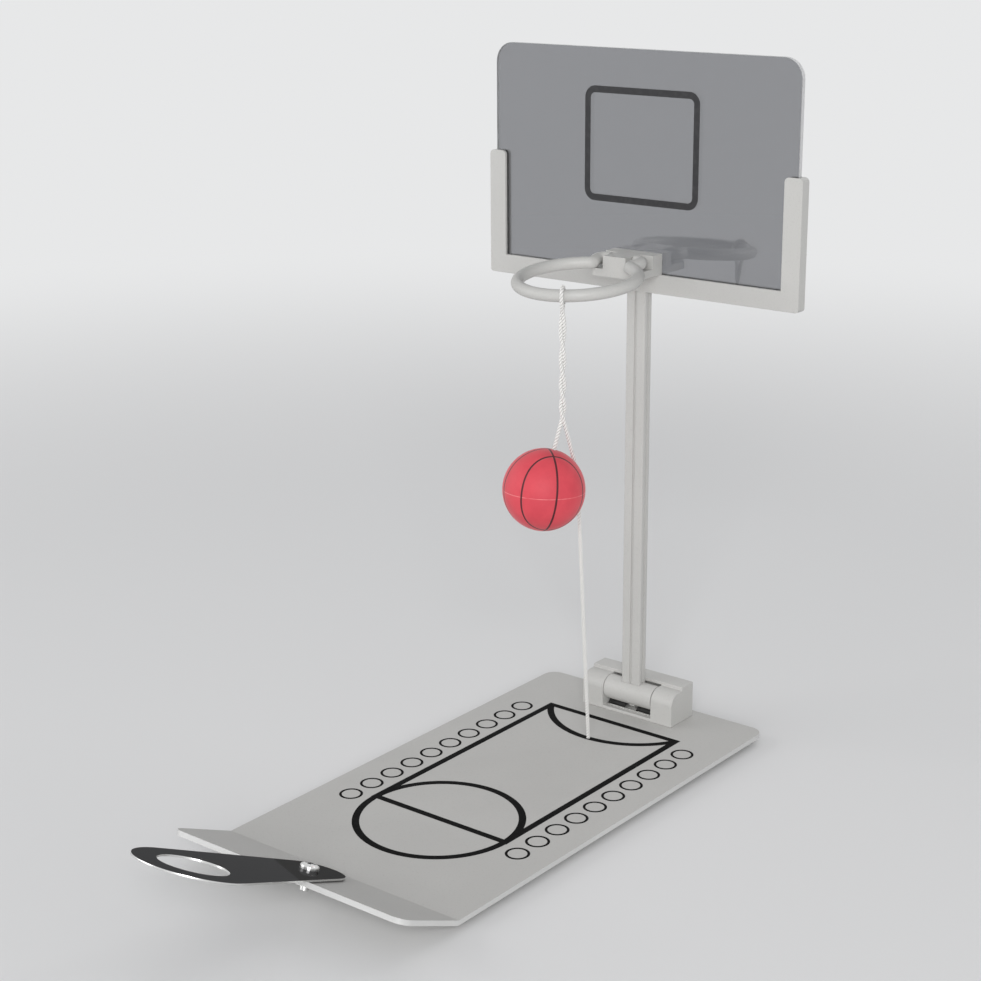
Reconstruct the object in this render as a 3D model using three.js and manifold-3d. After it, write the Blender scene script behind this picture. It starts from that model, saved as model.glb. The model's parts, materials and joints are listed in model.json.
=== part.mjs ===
// Tabletop basketball game: a painted sheet base with a turned-up front flange, a folding mast with a
// clear backboard and a fold-up hoop, a sprung launcher, and a rubber ball on a cord.
// Millimetres, +Z up, +X right, +Y to the back. The model is drawn with the base's top face at Z 0 and
// its rear edge at Y 0, and the whole group is then moved so that the origin lies on the table, in the
// middle of the game's own length and width.

import * as THREE from "three";
import { mergeVertices } from "three/addons/utils/BufferGeometryUtils.js";
import Module from "manifold-3d";

const wasm = await Module();
wasm.setup();

// General values
const degree = Math.PI / 180;
const seatGap = 0.3;           // between pieces that rest on each other
const runningGap = 0.08;       // round a pin in its bore
const overrun = 2;             // by which a cutter passes the face that it cuts
const arcSteps = 8;            // steps in a quarter of a round corner
const roundSides = 32;         // sides of a bore or a visible round piece
const screwSides = 20;         // sides of a screw

// Base plate and its flange
const base = {
  width: 97,
  length: 176.6,               // rear edge to the bend, on the top face
  sheet: 1.7,
  rearCorner: 5,
  flangeLength: 27.7,          // bend to the front edge, on the top face
  flangeAngle: 23.9 * degree,
  bendRadius: 1.2,
  flangeCorner: 4.5,
  cordHoleRadius: 1.2,
  cordHoleY: -44.5,
  cordHoleX: 1.1,
};

// Feet under the plate
const foot = { radius: 5, height: 2.5, insetX: 12, insetRear: 12, insetFront: 13 };

// Hinge housing on the rear of the plate, and the hinge that it carries
const hinge = { axisY: -14.2, axisZ: 7.7, pinRadius: 1.5, barrelRadius: 4.6, pinInCheek: 6, pinInBarrel: 5 };
const housing = {
  width: 40,
  rearY: -4.4,
  slotWidth: 21.5,
  cheekRadius: 4.7,            // round front edge of the cheeks, about the hinge axis
  ridgeHeight: 13.7,
  floor: 1.2,
  rearWall: 3.6,
  screwX: 15.4,
  screwY: -11.2,
  screwDepth: 8,
};
const countersunk = { headRadius: 2.7, headHeight: 1.3, shankRadius: 1.2 };

// Friction leaf that lies under the barrel
const frictionLeaf = { thickness: 0.4, length: 20.4, depth: 4.6, landing: 0.4, windowWidth: 4.8 };

// Mast post, and the screw that holds it on the barrel
const post = {
  width: 8,
  depth: 4.3,
  corner: 0.5,
  grooveWidth: 1,
  grooveDepth: 0.5,
  seatHeight: 4,               // of the post's foot over the hinge axis
  screwRadius: 1.1,
  screwLength: 13,
  screwHeadRadius: 1.7,
  screwHeadHeight: 2,
};

// Backboard and the channel that holds it
const board = { width: 125.4, height: 80.3, thickness: 1.8, topCorner: 7, lowCorner: 1 };
const frame = {
  width: 130,
  bottomZ: 160.3,
  barHeight: 6.8,
  uprightHeight: 44.7,
  uprightWidth: 6.9,
  depth: 4.2,
  lowCorner: 1.2,
  topCorner: 1.6,
  slotClearance: 0.15,
  slotFloor: 2.5,
  screwHeadRadius: 0.9,
  screwHeadHeight: 0.6,
  screwRadius: 0.8,
  screwLength: 9,
};

// Hoop bracket, the hoop and its pivot
const bracket = {
  width: 19.8,
  height: 7.3,
  rearDepth: 5.8,
  lugWidth: 9.5,
  length: 14.9,                // of the lug and of the ledge that the hoop rests on
  ledgeCorner: 1.2,
  screwX: 7.2,
  screwRadius: 1,
  screwHeadRadius: 2,
  screwHeadHeight: 1.4,
  screwReach: 4.6,
};
const hoop = {
  radius: 20.45,               // of the rod's centre line
  rodRadius: 2.12,
  centreAhead: 26.8,           // pivot to the middle of the round part
  pivotAhead: 9.4,             // board face to pivot
  pivotBelowTop: 1.7,          // bracket's top face to pivot
  armX: 8.8,
  elbowRadius: 2.8,
  armStart: 64 * degree,       // where the arm leaves the round part, from the X axis
  droop: 5.6 * degree,
  pinRadius: 1,
  pinInRod: 1.7,
  rodSides: 14,
  rodSteps: 84,
};

// Launcher: a spring steel leaf with a ring head, clamped on the flange by one screw
const launcher = {
  leafThickness: 0.6,
  tailRadius: 10,
  tailAhead: 12.8,             // bend line to the tail's round end, along the flange
  screwAhead: 15.3,
  headRadius: 18.3,
  headAhead: 67,
  cupRadius: 10.8,
  headCutAhead: 46,            // where the ring head begins
  washerRadius: 3.6,
  washerThickness: 0.5,
  screwRadius: 1.5,
  screwHeadRadius: 3.1,
  screwHeadHeight: 1.9,
  nutRadius: 3.1,
  nutHeight: 2.3,
  screwTail: 1.8,
  outlineSteps: 40,
};

// Ball, and the cord that it hangs on
const ball = { radius: 14, x: 4.6, y: -76.1, z: 102.8, sides: 32, rings: 18 };
const cord = {
  radius: 0.7,
  sides: 8,
  forkX: 6.61,                 // where the twisted pair parts
  forkY: -68.3,
  forkZ: 126.6,
  rimAngle: -68.1 * degree,    // place on the hoop that carries the loop
  loopAngle: -61.2 * degree,   // way in which the loop faces, seen from above
  twists: 2.04,
  twistShare: 0.9,             // share of the pair's length that is twisted
  tightenShare: 0.36,          // how much closer the turns lie at the fork
  pairRadius: 0.97,
  stepsPerTwist: 12,
  flareShare: 0.16,            // share of the pair's length in which it opens round the rod
  loopSteps: 8,
  wrapLowAngle: 7.7 * degree,
  wrapHighAngle: 20.5 * degree,
  strandShares: [0.33, 0.66],  // where the free strand is divided, from the base up to the ball
  joinShare: 0.96,             // how far the strand goes from the ball to the twisted pair
  knotRadius: 1.9,
  knotFlatShare: 0.45,         // height of the pulled knot as a share of its width
};

const materials = {
  painted: new THREE.MeshStandardMaterial({ color: 0xb9b9b6, roughness: 0.55, metalness: 0.1 }),
  acrylic: new THREE.MeshStandardMaterial({
    color: 0xd8dcde, roughness: 0.05, metalness: 0, transparent: true, opacity: 0.3,
  }),
  polished: new THREE.MeshStandardMaterial({ color: 0xc8c8c8, roughness: 0.08, metalness: 1 }),
  plated: new THREE.MeshStandardMaterial({ color: 0xd0d0d0, roughness: 0.25, metalness: 1 }),
  rubber: new THREE.MeshStandardMaterial({ color: 0x2a2a2a, roughness: 0.9, metalness: 0 }),
  ballRubber: new THREE.MeshStandardMaterial({ color: 0xd9505c, roughness: 0.7, metalness: 0 }),
  cotton: new THREE.MeshStandardMaterial({ color: 0xecebe8, roughness: 0.95, metalness: 0 }),
};

// Solids: booleans on closed geometries

function bare(geometry) {
  const plain = geometry.clone();
  plain.deleteAttribute("normal");
  plain.deleteAttribute("uv");
  return mergeVertices(plain, 1e-4);
}

function toSolid(geometry) {
  const merged = bare(geometry);
  return new wasm.Manifold(new wasm.Mesh({
    numProp: 3,
    vertProperties: new Float32Array(merged.attributes.position.array),
    triVerts: new Uint32Array(merged.index.array),
  }));
}

function toGeometry(solid) {
  const mesh = solid.getMesh();
  const geometry = new THREE.BufferGeometry();
  geometry.setAttribute("position", new THREE.BufferAttribute(new Float32Array(mesh.vertProperties), 3));
  geometry.setIndex(new THREE.BufferAttribute(new Uint32Array(mesh.triVerts), 1));
  return geometry;
}

function cut(geometry, ...cutters) {
  return toGeometry(cutters.reduce((solid, cutter) => solid.subtract(toSolid(cutter)), toSolid(geometry)));
}

function join(geometry, ...others) {
  return toGeometry(others.reduce((solid, other) => solid.add(toSolid(other)), toSolid(geometry)));
}

function common(geometry, ...others) {
  return toGeometry(others.reduce((solid, other) => solid.intersect(toSolid(other)), toSolid(geometry)));
}

// Shapes and simple solids

function arc(centreA, centreB, radius, from, to, steps = arcSteps) {
  return Array.from({ length: steps + 1 }, (_, i) => {
    const angle = from + ((to - from) * i) / steps;
    return new THREE.Vector2(centreA + radius * Math.cos(angle), centreB + radius * Math.sin(angle));
  });
}

function roundedRectangle(lowA, lowB, highA, highB, lowCorner, highCorner) {
  const quarter = Math.PI / 2;
  return new THREE.Shape([
    ...arc(lowA + lowCorner, lowB + lowCorner, lowCorner, 2 * quarter, 3 * quarter),
    ...arc(highA - lowCorner, lowB + lowCorner, lowCorner, 3 * quarter, 4 * quarter),
    ...arc(highA - highCorner, highB - highCorner, highCorner, 0, quarter),
    ...arc(lowA + highCorner, highB - highCorner, highCorner, quarter, 2 * quarter),
  ]);
}

function extrudeAlongZ(shape, lowZ, highZ) {
  const geometry = new THREE.ExtrudeGeometry(shape, {
    depth: highZ - lowZ, bevelEnabled: false, steps: 1, curveSegments: roundSides,
  });
  return geometry.translate(0, 0, lowZ);
}

// The outline is in Y and Z, and the solid runs along X.
function extrudeAlongX(shape, lowX, highX) {
  const turn = new THREE.Matrix4().makeBasis(
    new THREE.Vector3(0, 1, 0), new THREE.Vector3(0, 0, 1), new THREE.Vector3(1, 0, 0));
  return extrudeAlongZ(shape, lowX, highX).applyMatrix4(turn);
}

// The outline is in X and Z, and the solid runs back from frontY to rearY.
function extrudeAlongY(shape, frontY, rearY) {
  return extrudeAlongZ(shape, -rearY, -frontY).rotateX(Math.PI / 2);
}

function block(lowX, highX, lowY, highY, lowZ, highZ) {
  return new THREE.BoxGeometry(highX - lowX, highY - lowY, highZ - lowZ)
    .translate((lowX + highX) / 2, (lowY + highY) / 2, (lowZ + highZ) / 2);
}

function rodAlongX(radius, lowX, highX, y, z, sides = roundSides) {
  return new THREE.CylinderGeometry(radius, radius, highX - lowX, sides)
    .rotateZ(Math.PI / 2).translate((lowX + highX) / 2, y, z);
}

function rodAlongY(radius, lowY, highY, x, z, sides = roundSides) {
  return new THREE.CylinderGeometry(radius, radius, highY - lowY, sides)
    .translate(x, (lowY + highY) / 2, z);
}

function rodAlongZ(radius, lowZ, highZ, x, y, sides = roundSides) {
  return new THREE.CylinderGeometry(radius, radius, highZ - lowZ, sides)
    .rotateX(Math.PI / 2).translate(x, y, (lowZ + highZ) / 2);
}

// A turned piece about Z, from pairs of radius and height.
function turned(profile, x, y, z) {
  const points = profile.map(([radius, height]) => new THREE.Vector2(radius, height));
  return new THREE.LatheGeometry(points, screwSides).rotateX(Math.PI / 2).translate(x, y, z);
}

function circleShape(radius, sides) {
  return new THREE.Shape(arc(0, 0, radius, 0, 2 * Math.PI * (1 - 1 / sides), sides - 1));
}

function tube(points, radius, sides, steps) {
  const path = new THREE.CatmullRomCurve3(points, false, "centripetal");
  return new THREE.ExtrudeGeometry(circleShape(radius, sides), {
    extrudePath: path, steps, bevelEnabled: false,
  });
}

// A pan-head screw with its head up: the underside of the head is at height zero.
function panScrew(headRadius, headHeight, shankRadius, shankLength) {
  return [
    [0, -shankLength], [shankRadius, -shankLength], [shankRadius, 0], [headRadius, 0],
    [headRadius, headHeight / 2], [headRadius - headHeight / 4, headHeight * 0.85],
    [headRadius / 2, headHeight], [0, headHeight],
  ];
}

// Scene: one group for the whole game, and one for what lies on the sloping flange

const game = new THREE.Group();
const drawn = new THREE.Group();
const onFlange = new THREE.Group();
onFlange.position.set(0, -base.length, 0);
onFlange.rotation.x = -base.flangeAngle;
drawn.add(onFlange);
game.add(drawn);

function addPiece(name, geometry, material, group = drawn) {
  const mesh = new THREE.Mesh(bare(geometry), material);
  mesh.geometry.computeVertexNormals();
  mesh.name = name;
  group.add(mesh);
  return mesh;
}

// Base plate

function flangePlace(geometry) {
  return geometry.rotateX(-base.flangeAngle).translate(0, -base.length, 0);
}

function makeBasePlate() {
  const angle = base.flangeAngle;
  const tangent = base.bendRadius * Math.tan(angle / 2);
  const bendY = -base.length + tangent;
  const down = -Math.PI / 2;
  const topEdge = new THREE.Vector2(
    -base.length - base.flangeLength * Math.cos(angle), base.flangeLength * Math.sin(angle));
  const lowEdge = new THREE.Vector2(
    topEdge.x - base.sheet * Math.sin(angle), topEdge.y - base.sheet * Math.cos(angle));
  const profile = new THREE.Shape([
    new THREE.Vector2(0, -base.sheet),
    new THREE.Vector2(0, 0),
    ...arc(bendY, base.bendRadius, base.bendRadius, down, down - angle),
    topEdge,
    lowEdge,
    ...arc(bendY, base.bendRadius, base.bendRadius + base.sheet, down - angle, down),
  ]);
  const half = base.width / 2;
  const reach = base.length + base.flangeLength;
  const rise = base.flangeLength + overrun;
  const sheet = extrudeAlongX(profile, -half, half);
  const plan = extrudeAlongZ(
    roundedRectangle(-half, -reach, half, 0, 0.001 * base.rearCorner, base.rearCorner), -rise, rise);
  const flangePlan = flangePlace(extrudeAlongZ(
    roundedRectangle(-half, -base.flangeLength, half, reach, base.flangeCorner, 0.001 * base.flangeCorner),
    -reach, reach));
  const countersinkDepth = countersunk.headHeight + seatGap;
  const screwHoles = [-housing.screwX, housing.screwX].flatMap((x) => [
    rodAlongZ(countersunk.shankRadius + seatGap, -base.sheet - overrun, overrun, x, housing.screwY),
    turned([
      [0, -overrun], [countersunk.headRadius + seatGap, -overrun], [countersunk.headRadius + seatGap, 0],
      [countersunk.shankRadius + seatGap, countersinkDepth], [0, countersinkDepth],
    ], x, housing.screwY, -base.sheet),
  ]);
  const cordHole = rodAlongZ(
    base.cordHoleRadius, -base.sheet - overrun, overrun, base.cordHoleX, base.cordHoleY);
  const clampHole = flangePlace(rodAlongZ(
    launcher.screwRadius + seatGap, -base.sheet - overrun, overrun, 0, -launcher.screwAhead));
  return cut(common(sheet, plan, flangePlan), ...screwHoles, cordHole, clampHole);
}
addPiece("base_plate", makeBasePlate(), materials.painted);

// Feet

const footX = base.width / 2 - foot.insetX;
const footPlaces = {
  foot_rear_left: [-footX, -foot.insetRear],
  foot_rear_right: [footX, -foot.insetRear],
  foot_front_left: [-footX, -base.length + foot.insetFront],
  foot_front_right: [footX, -base.length + foot.insetFront],
};
for (const [name, [x, y]] of Object.entries(footPlaces)) {
  const pad = rodAlongZ(foot.radius, -base.sheet - foot.height, -base.sheet, x, y);
  addPiece(name, pad, materials.rubber);
}

// Hinge housing: two cheeks with rounded front edges, a rear ridge that stops the upright mast, a floor

const postBackY = hinge.axisY + post.depth / 2;
const ridgeFrontY = postBackY + seatGap;
const cheekTopZ = hinge.axisZ + housing.cheekRadius;
const barrelHalf = housing.slotWidth / 2 - seatGap;

function makeHousing() {
  const half = housing.width / 2;
  const slotHalf = housing.slotWidth / 2;
  const frontY = hinge.axisY - housing.cheekRadius;
  const innerY = housing.rearY - housing.rearWall;
  const profile = new THREE.Shape([
    new THREE.Vector2(housing.rearY, 0),
    new THREE.Vector2(housing.rearY, housing.ridgeHeight),
    new THREE.Vector2(ridgeFrontY, housing.ridgeHeight),
    new THREE.Vector2(ridgeFrontY, cheekTopZ),
    ...arc(hinge.axisY, hinge.axisZ, housing.cheekRadius, Math.PI / 2, Math.PI),
    new THREE.Vector2(frontY, 0),
  ]);
  const slotFront = block(
    -slotHalf, slotHalf, frontY - overrun, ridgeFrontY, housing.floor, cheekTopZ + overrun);
  const slotUnderRidge = block(
    -slotHalf, slotHalf, ridgeFrontY - overrun, innerY, housing.floor, cheekTopZ);
  const boreEnd = slotHalf + hinge.pinInCheek + seatGap;
  const bores = [-1, 1].map((side) => rodAlongX(
    hinge.pinRadius + runningGap, Math.min(side * boreEnd, 0), Math.max(side * boreEnd, 0),
    hinge.axisY, hinge.axisZ));
  const screwHoles = [-housing.screwX, housing.screwX].map((x) => rodAlongZ(
    countersunk.shankRadius + runningGap, -overrun, housing.screwDepth, x, housing.screwY));
  return cut(extrudeAlongX(profile, -half, half), slotFront, slotUnderRidge, ...bores, ...screwHoles);
}
addPiece("hinge_housing", makeHousing(), materials.painted);

const housingScrewEnd = base.sheet + housing.screwDepth - seatGap;
const housingScrew = [
  [0, 0], [countersunk.headRadius, 0], [countersunk.shankRadius, countersunk.headHeight],
  [countersunk.shankRadius, housingScrewEnd], [0, housingScrewEnd],
];
for (const [name, side] of [["housing_screw_left", -1], ["housing_screw_right", 1]]) {
  const screw = turned(housingScrew, side * housing.screwX, housing.screwY, -base.sheet);
  addPiece(name, screw, materials.plated);
}

for (const [name, side] of [["hinge_pin_left", -1], ["hinge_pin_right", 1]]) {
  const outer = side * (housing.slotWidth / 2 + hinge.pinInCheek);
  const inner = side * (barrelHalf - hinge.pinInBarrel);
  const pin = rodAlongX(
    hinge.pinRadius, Math.min(inner, outer), Math.max(inner, outer), hinge.axisY, hinge.axisZ);
  addPiece(name, pin, materials.plated);
}

// Friction leaf: flat at its front and back edges, bowed up to the barrel between them, and open in
// the middle for the head of the post's screw

function makeFrictionLeaf() {
  const lowZ = housing.floor;
  const rise = hinge.axisZ - hinge.barrelRadius - seatGap - frictionLeaf.thickness - lowZ;
  const half = frictionLeaf.depth / 2;
  const crest = half - frictionLeaf.landing;
  const steps = Array.from({ length: 2 * arcSteps + 1 }, (_, i) => i / arcSteps - 1);
  const bow = (share, height) => new THREE.Vector2(hinge.axisY + share * crest,
    lowZ + height + rise * Math.cos((Math.PI / 2) * share) ** 2);
  const profile = new THREE.Shape([
    new THREE.Vector2(hinge.axisY - half, lowZ),
    ...steps.map((share) => bow(share, 0)),
    new THREE.Vector2(hinge.axisY + half, lowZ),
    new THREE.Vector2(hinge.axisY + half, lowZ + frictionLeaf.thickness),
    ...steps.reverse().map((share) => bow(share, frictionLeaf.thickness)),
    new THREE.Vector2(hinge.axisY - half, lowZ + frictionLeaf.thickness),
  ]);
  const window = block(-frictionLeaf.windowWidth / 2, frictionLeaf.windowWidth / 2,
    hinge.axisY - crest, hinge.axisY + crest, 0, hinge.axisZ);
  return cut(extrudeAlongX(profile, -frictionLeaf.length / 2, frictionLeaf.length / 2), window);
}
addPiece("friction_leaf", makeFrictionLeaf(), materials.plated);

// Mast: barrel, post and the screw that joins them

const postFootZ = hinge.axisZ + post.seatHeight;

function makeBarrel() {
  const barrel = rodAlongX(
    hinge.barrelRadius, -barrelHalf, barrelHalf, hinge.axisY, hinge.axisZ, 2 * roundSides);
  const seatHalf = post.width / 2 + runningGap;
  const seat = block(-seatHalf, seatHalf, hinge.axisY - hinge.barrelRadius - overrun,
    hinge.axisY + hinge.barrelRadius + overrun, postFootZ, postFootZ + overrun);
  const bores = [-1, 1].map((side) => {
    const inner = side * (barrelHalf - hinge.pinInBarrel - seatGap);
    const outer = side * (barrelHalf + overrun);
    return rodAlongX(hinge.pinRadius + runningGap, Math.min(inner, outer), Math.max(inner, outer),
      hinge.axisY, hinge.axisZ);
  });
  const headSeatZ = hinge.axisZ - post.seatHeight;
  const screwHole = rodAlongZ(
    post.screwRadius + runningGap, headSeatZ - overrun, postFootZ + overrun, 0, hinge.axisY);
  const spotFace = rodAlongZ(
    post.screwHeadRadius + runningGap, headSeatZ - overrun, headSeatZ, 0, hinge.axisY);
  return cut(barrel, seat, ...bores, screwHole, spotFace);
}
addPiece("mast_barrel", makeBarrel(), materials.painted);

function makePost() {
  const halfX = post.width / 2;
  const halfY = post.depth / 2;
  const outline = roundedRectangle(-halfX, -halfY, halfX, halfY, post.corner, post.corner);
  const bar = extrudeAlongZ(outline, postFootZ, frame.bottomZ);
  const groove = post.grooveWidth / 2;
  const lowZ = postFootZ - overrun;
  const highZ = frame.bottomZ + overrun;
  const grooves = [
    block(-groove, groove, -halfY - overrun, -halfY + post.grooveDepth, lowZ, highZ),
    block(-groove, groove, halfY - post.grooveDepth, halfY + overrun, lowZ, highZ),
    block(-halfX - overrun, -halfX + post.grooveDepth, -groove, groove, lowZ, highZ),
    block(halfX - post.grooveDepth, halfX + overrun, -groove, groove, lowZ, highZ),
  ];
  const lowHole = rodAlongZ(post.screwRadius + runningGap, lowZ,
    hinge.axisZ - post.seatHeight + post.screwLength + seatGap, 0, 0);
  const topHole = rodAlongZ(frame.screwRadius + runningGap,
    frame.bottomZ - frame.screwLength - seatGap, highZ, 0, 0);
  return cut(bar, ...grooves, lowHole, topHole).translate(0, hinge.axisY, 0);
}
addPiece("mast_post", makePost(), materials.painted);

function makePostScrew() {
  const profile = panScrew(post.screwHeadRadius, post.screwHeadHeight, post.screwRadius, post.screwLength);
  return turned(profile, 0, 0, 0).rotateX(Math.PI)
    .translate(0, hinge.axisY, hinge.axisZ - post.seatHeight);
}
addPiece("post_screw", makePostScrew(), materials.plated);

// Backboard frame: a U-shaped channel, open at the top, with the clear board in its slot

const frameFrontY = hinge.axisY - frame.depth / 2;
const boardFrontY = hinge.axisY - board.thickness / 2;
const boardBackY = hinge.axisY + board.thickness / 2;
const slotFloorZ = frame.bottomZ + frame.slotFloor;
const boardBottomZ = slotFloorZ + seatGap;
const boardTopZ = boardBottomZ + board.height;
const barTopZ = frame.bottomZ + frame.barHeight;

function makeFrame() {
  const half = frame.width / 2;
  const topZ = frame.bottomZ + frame.uprightHeight;
  const outline = roundedRectangle(-half, frame.bottomZ, half, topZ, frame.lowCorner, frame.topCorner);
  const channel = extrudeAlongY(outline, frameFrontY, frameFrontY + frame.depth);
  const inner = half - frame.uprightWidth;
  const window = block(-inner, inner, frameFrontY - overrun, frameFrontY + frame.depth + overrun,
    barTopZ, topZ + overrun);
  const trimmed = cut(channel, window);
  const innerCorners = [-1, 1].map((side) => {
    const low = Math.min(side * half, side * (half - frame.uprightWidth));
    return extrudeAlongY(
      roundedRectangle(low, slotFloorZ, low + frame.uprightWidth, topZ, frame.topCorner, frame.topCorner),
      frameFrontY - overrun, frameFrontY + frame.depth + overrun);
  });
  const bar = block(-half, half, frameFrontY - overrun, frameFrontY + frame.depth + overrun,
    frame.bottomZ, barTopZ);
  const shaped = common(trimmed, join(bar, ...innerCorners));
  const slotHalf = board.width / 2 + seatGap;
  const slot = block(-slotHalf, slotHalf, boardFrontY - frame.slotClearance,
    boardBackY + frame.slotClearance, slotFloorZ, topZ + overrun);
  const screwHole = rodAlongZ(
    frame.screwRadius + runningGap, frame.bottomZ - overrun, slotFloorZ + overrun, 0, hinge.axisY);
  const headHole = rodAlongZ(frame.screwHeadRadius + runningGap,
    slotFloorZ - frame.screwHeadHeight, slotFloorZ + overrun, 0, hinge.axisY);
  return cut(shaped, slot, screwHole, headHole);
}
addPiece("backboard_frame", makeFrame(), materials.painted);

function makeFrameScrew() {
  const reach = frame.slotFloor - frame.screwHeadHeight + frame.screwLength;
  const profile = [
    [0, -reach], [frame.screwRadius, -reach], [frame.screwRadius, 0], [frame.screwHeadRadius, 0],
    [frame.screwHeadRadius, frame.screwHeadHeight], [0, frame.screwHeadHeight],
  ];
  return turned(profile, 0, hinge.axisY, slotFloorZ - frame.screwHeadHeight);
}
addPiece("frame_screw", makeFrameScrew(), materials.plated);

// Hoop bracket: sits on the channel's bar against the board, and is screwed on through the board

const bracketTopZ = barTopZ + bracket.height;
const pivotY = boardFrontY - hoop.pivotAhead;
const pivotZ = bracketTopZ - hoop.pivotBelowTop;
const ledgeFall = (bracket.length - hoop.pivotAhead) * Math.tan(hoop.droop);
const ledgeTopZ = pivotZ - hoop.rodRadius / Math.cos(hoop.droop) - ledgeFall - seatGap;
const bracketScrewZ = (barTopZ + bracketTopZ) / 2;

function makeBoard() {
  const half = board.width / 2;
  const outline = roundedRectangle(-half, boardBottomZ, half, boardTopZ, board.lowCorner, board.topCorner);
  const sheet = extrudeAlongY(outline, boardFrontY, boardBackY);
  const holes = [-bracket.screwX, bracket.screwX].map((x) => rodAlongY(
    bracket.screwRadius + runningGap, boardFrontY - overrun, boardBackY + overrun, x, bracketScrewZ));
  return cut(sheet, ...holes);
}
addPiece("backboard", makeBoard(), materials.acrylic);

function makeBracket() {
  const lug = block(-bracket.lugWidth / 2, bracket.lugWidth / 2,
    boardFrontY - bracket.length, boardFrontY, barTopZ, bracketTopZ);
  const rear = block(-bracket.width / 2, bracket.width / 2,
    boardFrontY - bracket.rearDepth, boardFrontY, barTopZ, bracketTopZ);
  const ledge = extrudeAlongZ(roundedRectangle(
    -bracket.width / 2, boardFrontY - bracket.length, bracket.width / 2,
    boardFrontY - bracket.rearDepth / 2, bracket.ledgeCorner, bracket.ledgeCorner), barTopZ, ledgeTopZ);
  const bore = rodAlongX(hoop.pinRadius + runningGap, -bracket.lugWidth, bracket.lugWidth, pivotY, pivotZ);
  const holes = [-bracket.screwX, bracket.screwX].map((x) => rodAlongY(
    bracket.screwRadius + runningGap, boardFrontY - bracket.screwReach - seatGap, boardFrontY + overrun,
    x, bracketScrewZ));
  return cut(join(lug, rear, ledge), bore, ...holes);
}
addPiece("hoop_bracket", makeBracket(), materials.painted);

const bracketScrewLength = bracket.screwReach + board.thickness;
for (const [name, side] of [["bracket_screw_left", -1], ["bracket_screw_right", 1]]) {
  const screw = turned(panScrew(
    bracket.screwHeadRadius, bracket.screwHeadHeight, bracket.screwRadius, bracketScrewLength), 0, 0, 0)
    .rotateX(-Math.PI / 2).translate(side * bracket.screwX, boardBackY, bracketScrewZ);
  addPiece(name, screw, materials.plated);
}

const hoopPinHalf = bracket.lugWidth / 2 + seatGap + hoop.pinInRod;
addPiece("hoop_pin", rodAlongX(hoop.pinRadius, -hoopPinHalf, hoopPinHalf, pivotY, pivotZ), materials.plated);

// Hoop: a bent rod. Each end turns in to the bracket's lug, and the hoop droops a little from level.

function droopPlace(point) {
  const ahead = point.y - pivotY;
  return new THREE.Vector3(
    point.x, pivotY + ahead * Math.cos(hoop.droop), pivotZ + ahead * Math.sin(hoop.droop));
}

function hoopRoute() {
  const centreY = pivotY - hoop.centreAhead;
  const startX = bracket.lugWidth / 2 + seatGap;
  const elbowX = hoop.armX - hoop.elbowRadius;
  const elbow = arc(elbowX, pivotY - hoop.elbowRadius, hoop.elbowRadius, Math.PI / 2, 0, 6);
  const round = arc(0, centreY, hoop.radius, hoop.armStart, -Math.PI / 2, 30);
  const armEnd = elbow[elbow.length - 1];
  const armFoot = round[0];
  const span = armEnd.distanceTo(armFoot);
  const along = new THREE.Vector2(Math.sin(hoop.armStart), -Math.cos(hoop.armStart));
  const arm = new THREE.CubicBezierCurve(
    armEnd, new THREE.Vector2(armEnd.x, armEnd.y - span / 2.4),
    armFoot.clone().addScaledVector(along, -span / 2.4), armFoot);
  const right = [new THREE.Vector2(startX, pivotY), ...elbow, ...arm.getPoints(6).slice(1, -1), ...round];
  const left = right.slice(0, -1).reverse().map((p) => new THREE.Vector2(-p.x, p.y));
  return [...right, ...left].map(droopPlace);
}

function makeHoop() {
  const rod = tube(hoopRoute(), hoop.rodRadius, hoop.rodSides, hoop.rodSteps);
  const startX = bracket.lugWidth / 2 + seatGap;
  const boreEnd = startX + hoop.pinInRod + seatGap;
  const bores = [-1, 1].map((side) => {
    const inner = side * (startX - overrun);
    const outer = side * boreEnd;
    return rodAlongX(hoop.pinRadius + runningGap, Math.min(inner, outer), Math.max(inner, outer),
      pivotY, pivotZ);
  });
  return cut(rod, ...bores);
}
addPiece("hoop_ring", makeHoop(), materials.painted);

// Launcher, drawn in the flange's own plane: -Y runs forward along the flange, Z is square to it

const leafBottom = launcher.washerThickness;
const leafTop = leafBottom + launcher.leafThickness;

// Half width of the leaf's outline: a small round tail and a large round head with straight flanks
function leafShape(fromAhead, toAhead) {
  const spacing = launcher.headAhead - launcher.tailAhead;
  const lean = Math.asin((launcher.headRadius - launcher.tailRadius) / spacing);
  const tailEnd = launcher.tailAhead - launcher.tailRadius * Math.sin(lean);
  const headStart = launcher.headAhead - launcher.headRadius * Math.sin(lean);
  const halfWidth = (ahead) => {
    if (ahead < tailEnd) return Math.sqrt(launcher.tailRadius ** 2 - (launcher.tailAhead - ahead) ** 2);
    if (ahead > headStart) return Math.sqrt(launcher.headRadius ** 2 - (launcher.headAhead - ahead) ** 2);
    return (launcher.tailRadius + (ahead - launcher.tailAhead) * Math.sin(lean)) / Math.cos(lean);
  };
  const steps = launcher.outlineSteps;
  const side = Array.from({ length: steps + 1 }, (_, i) => {
    const share = (1 - Math.cos((Math.PI * i) / steps)) / 2;
    const ahead = fromAhead + (toAhead - fromAhead) * share;
    return new THREE.Vector2(halfWidth(ahead) || 0, -ahead);
  });
  const mirrored = side.slice().reverse().map((p) => new THREE.Vector2(-p.x, p.y));
  return new THREE.Shape([...side, ...mirrored]);
}

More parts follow.
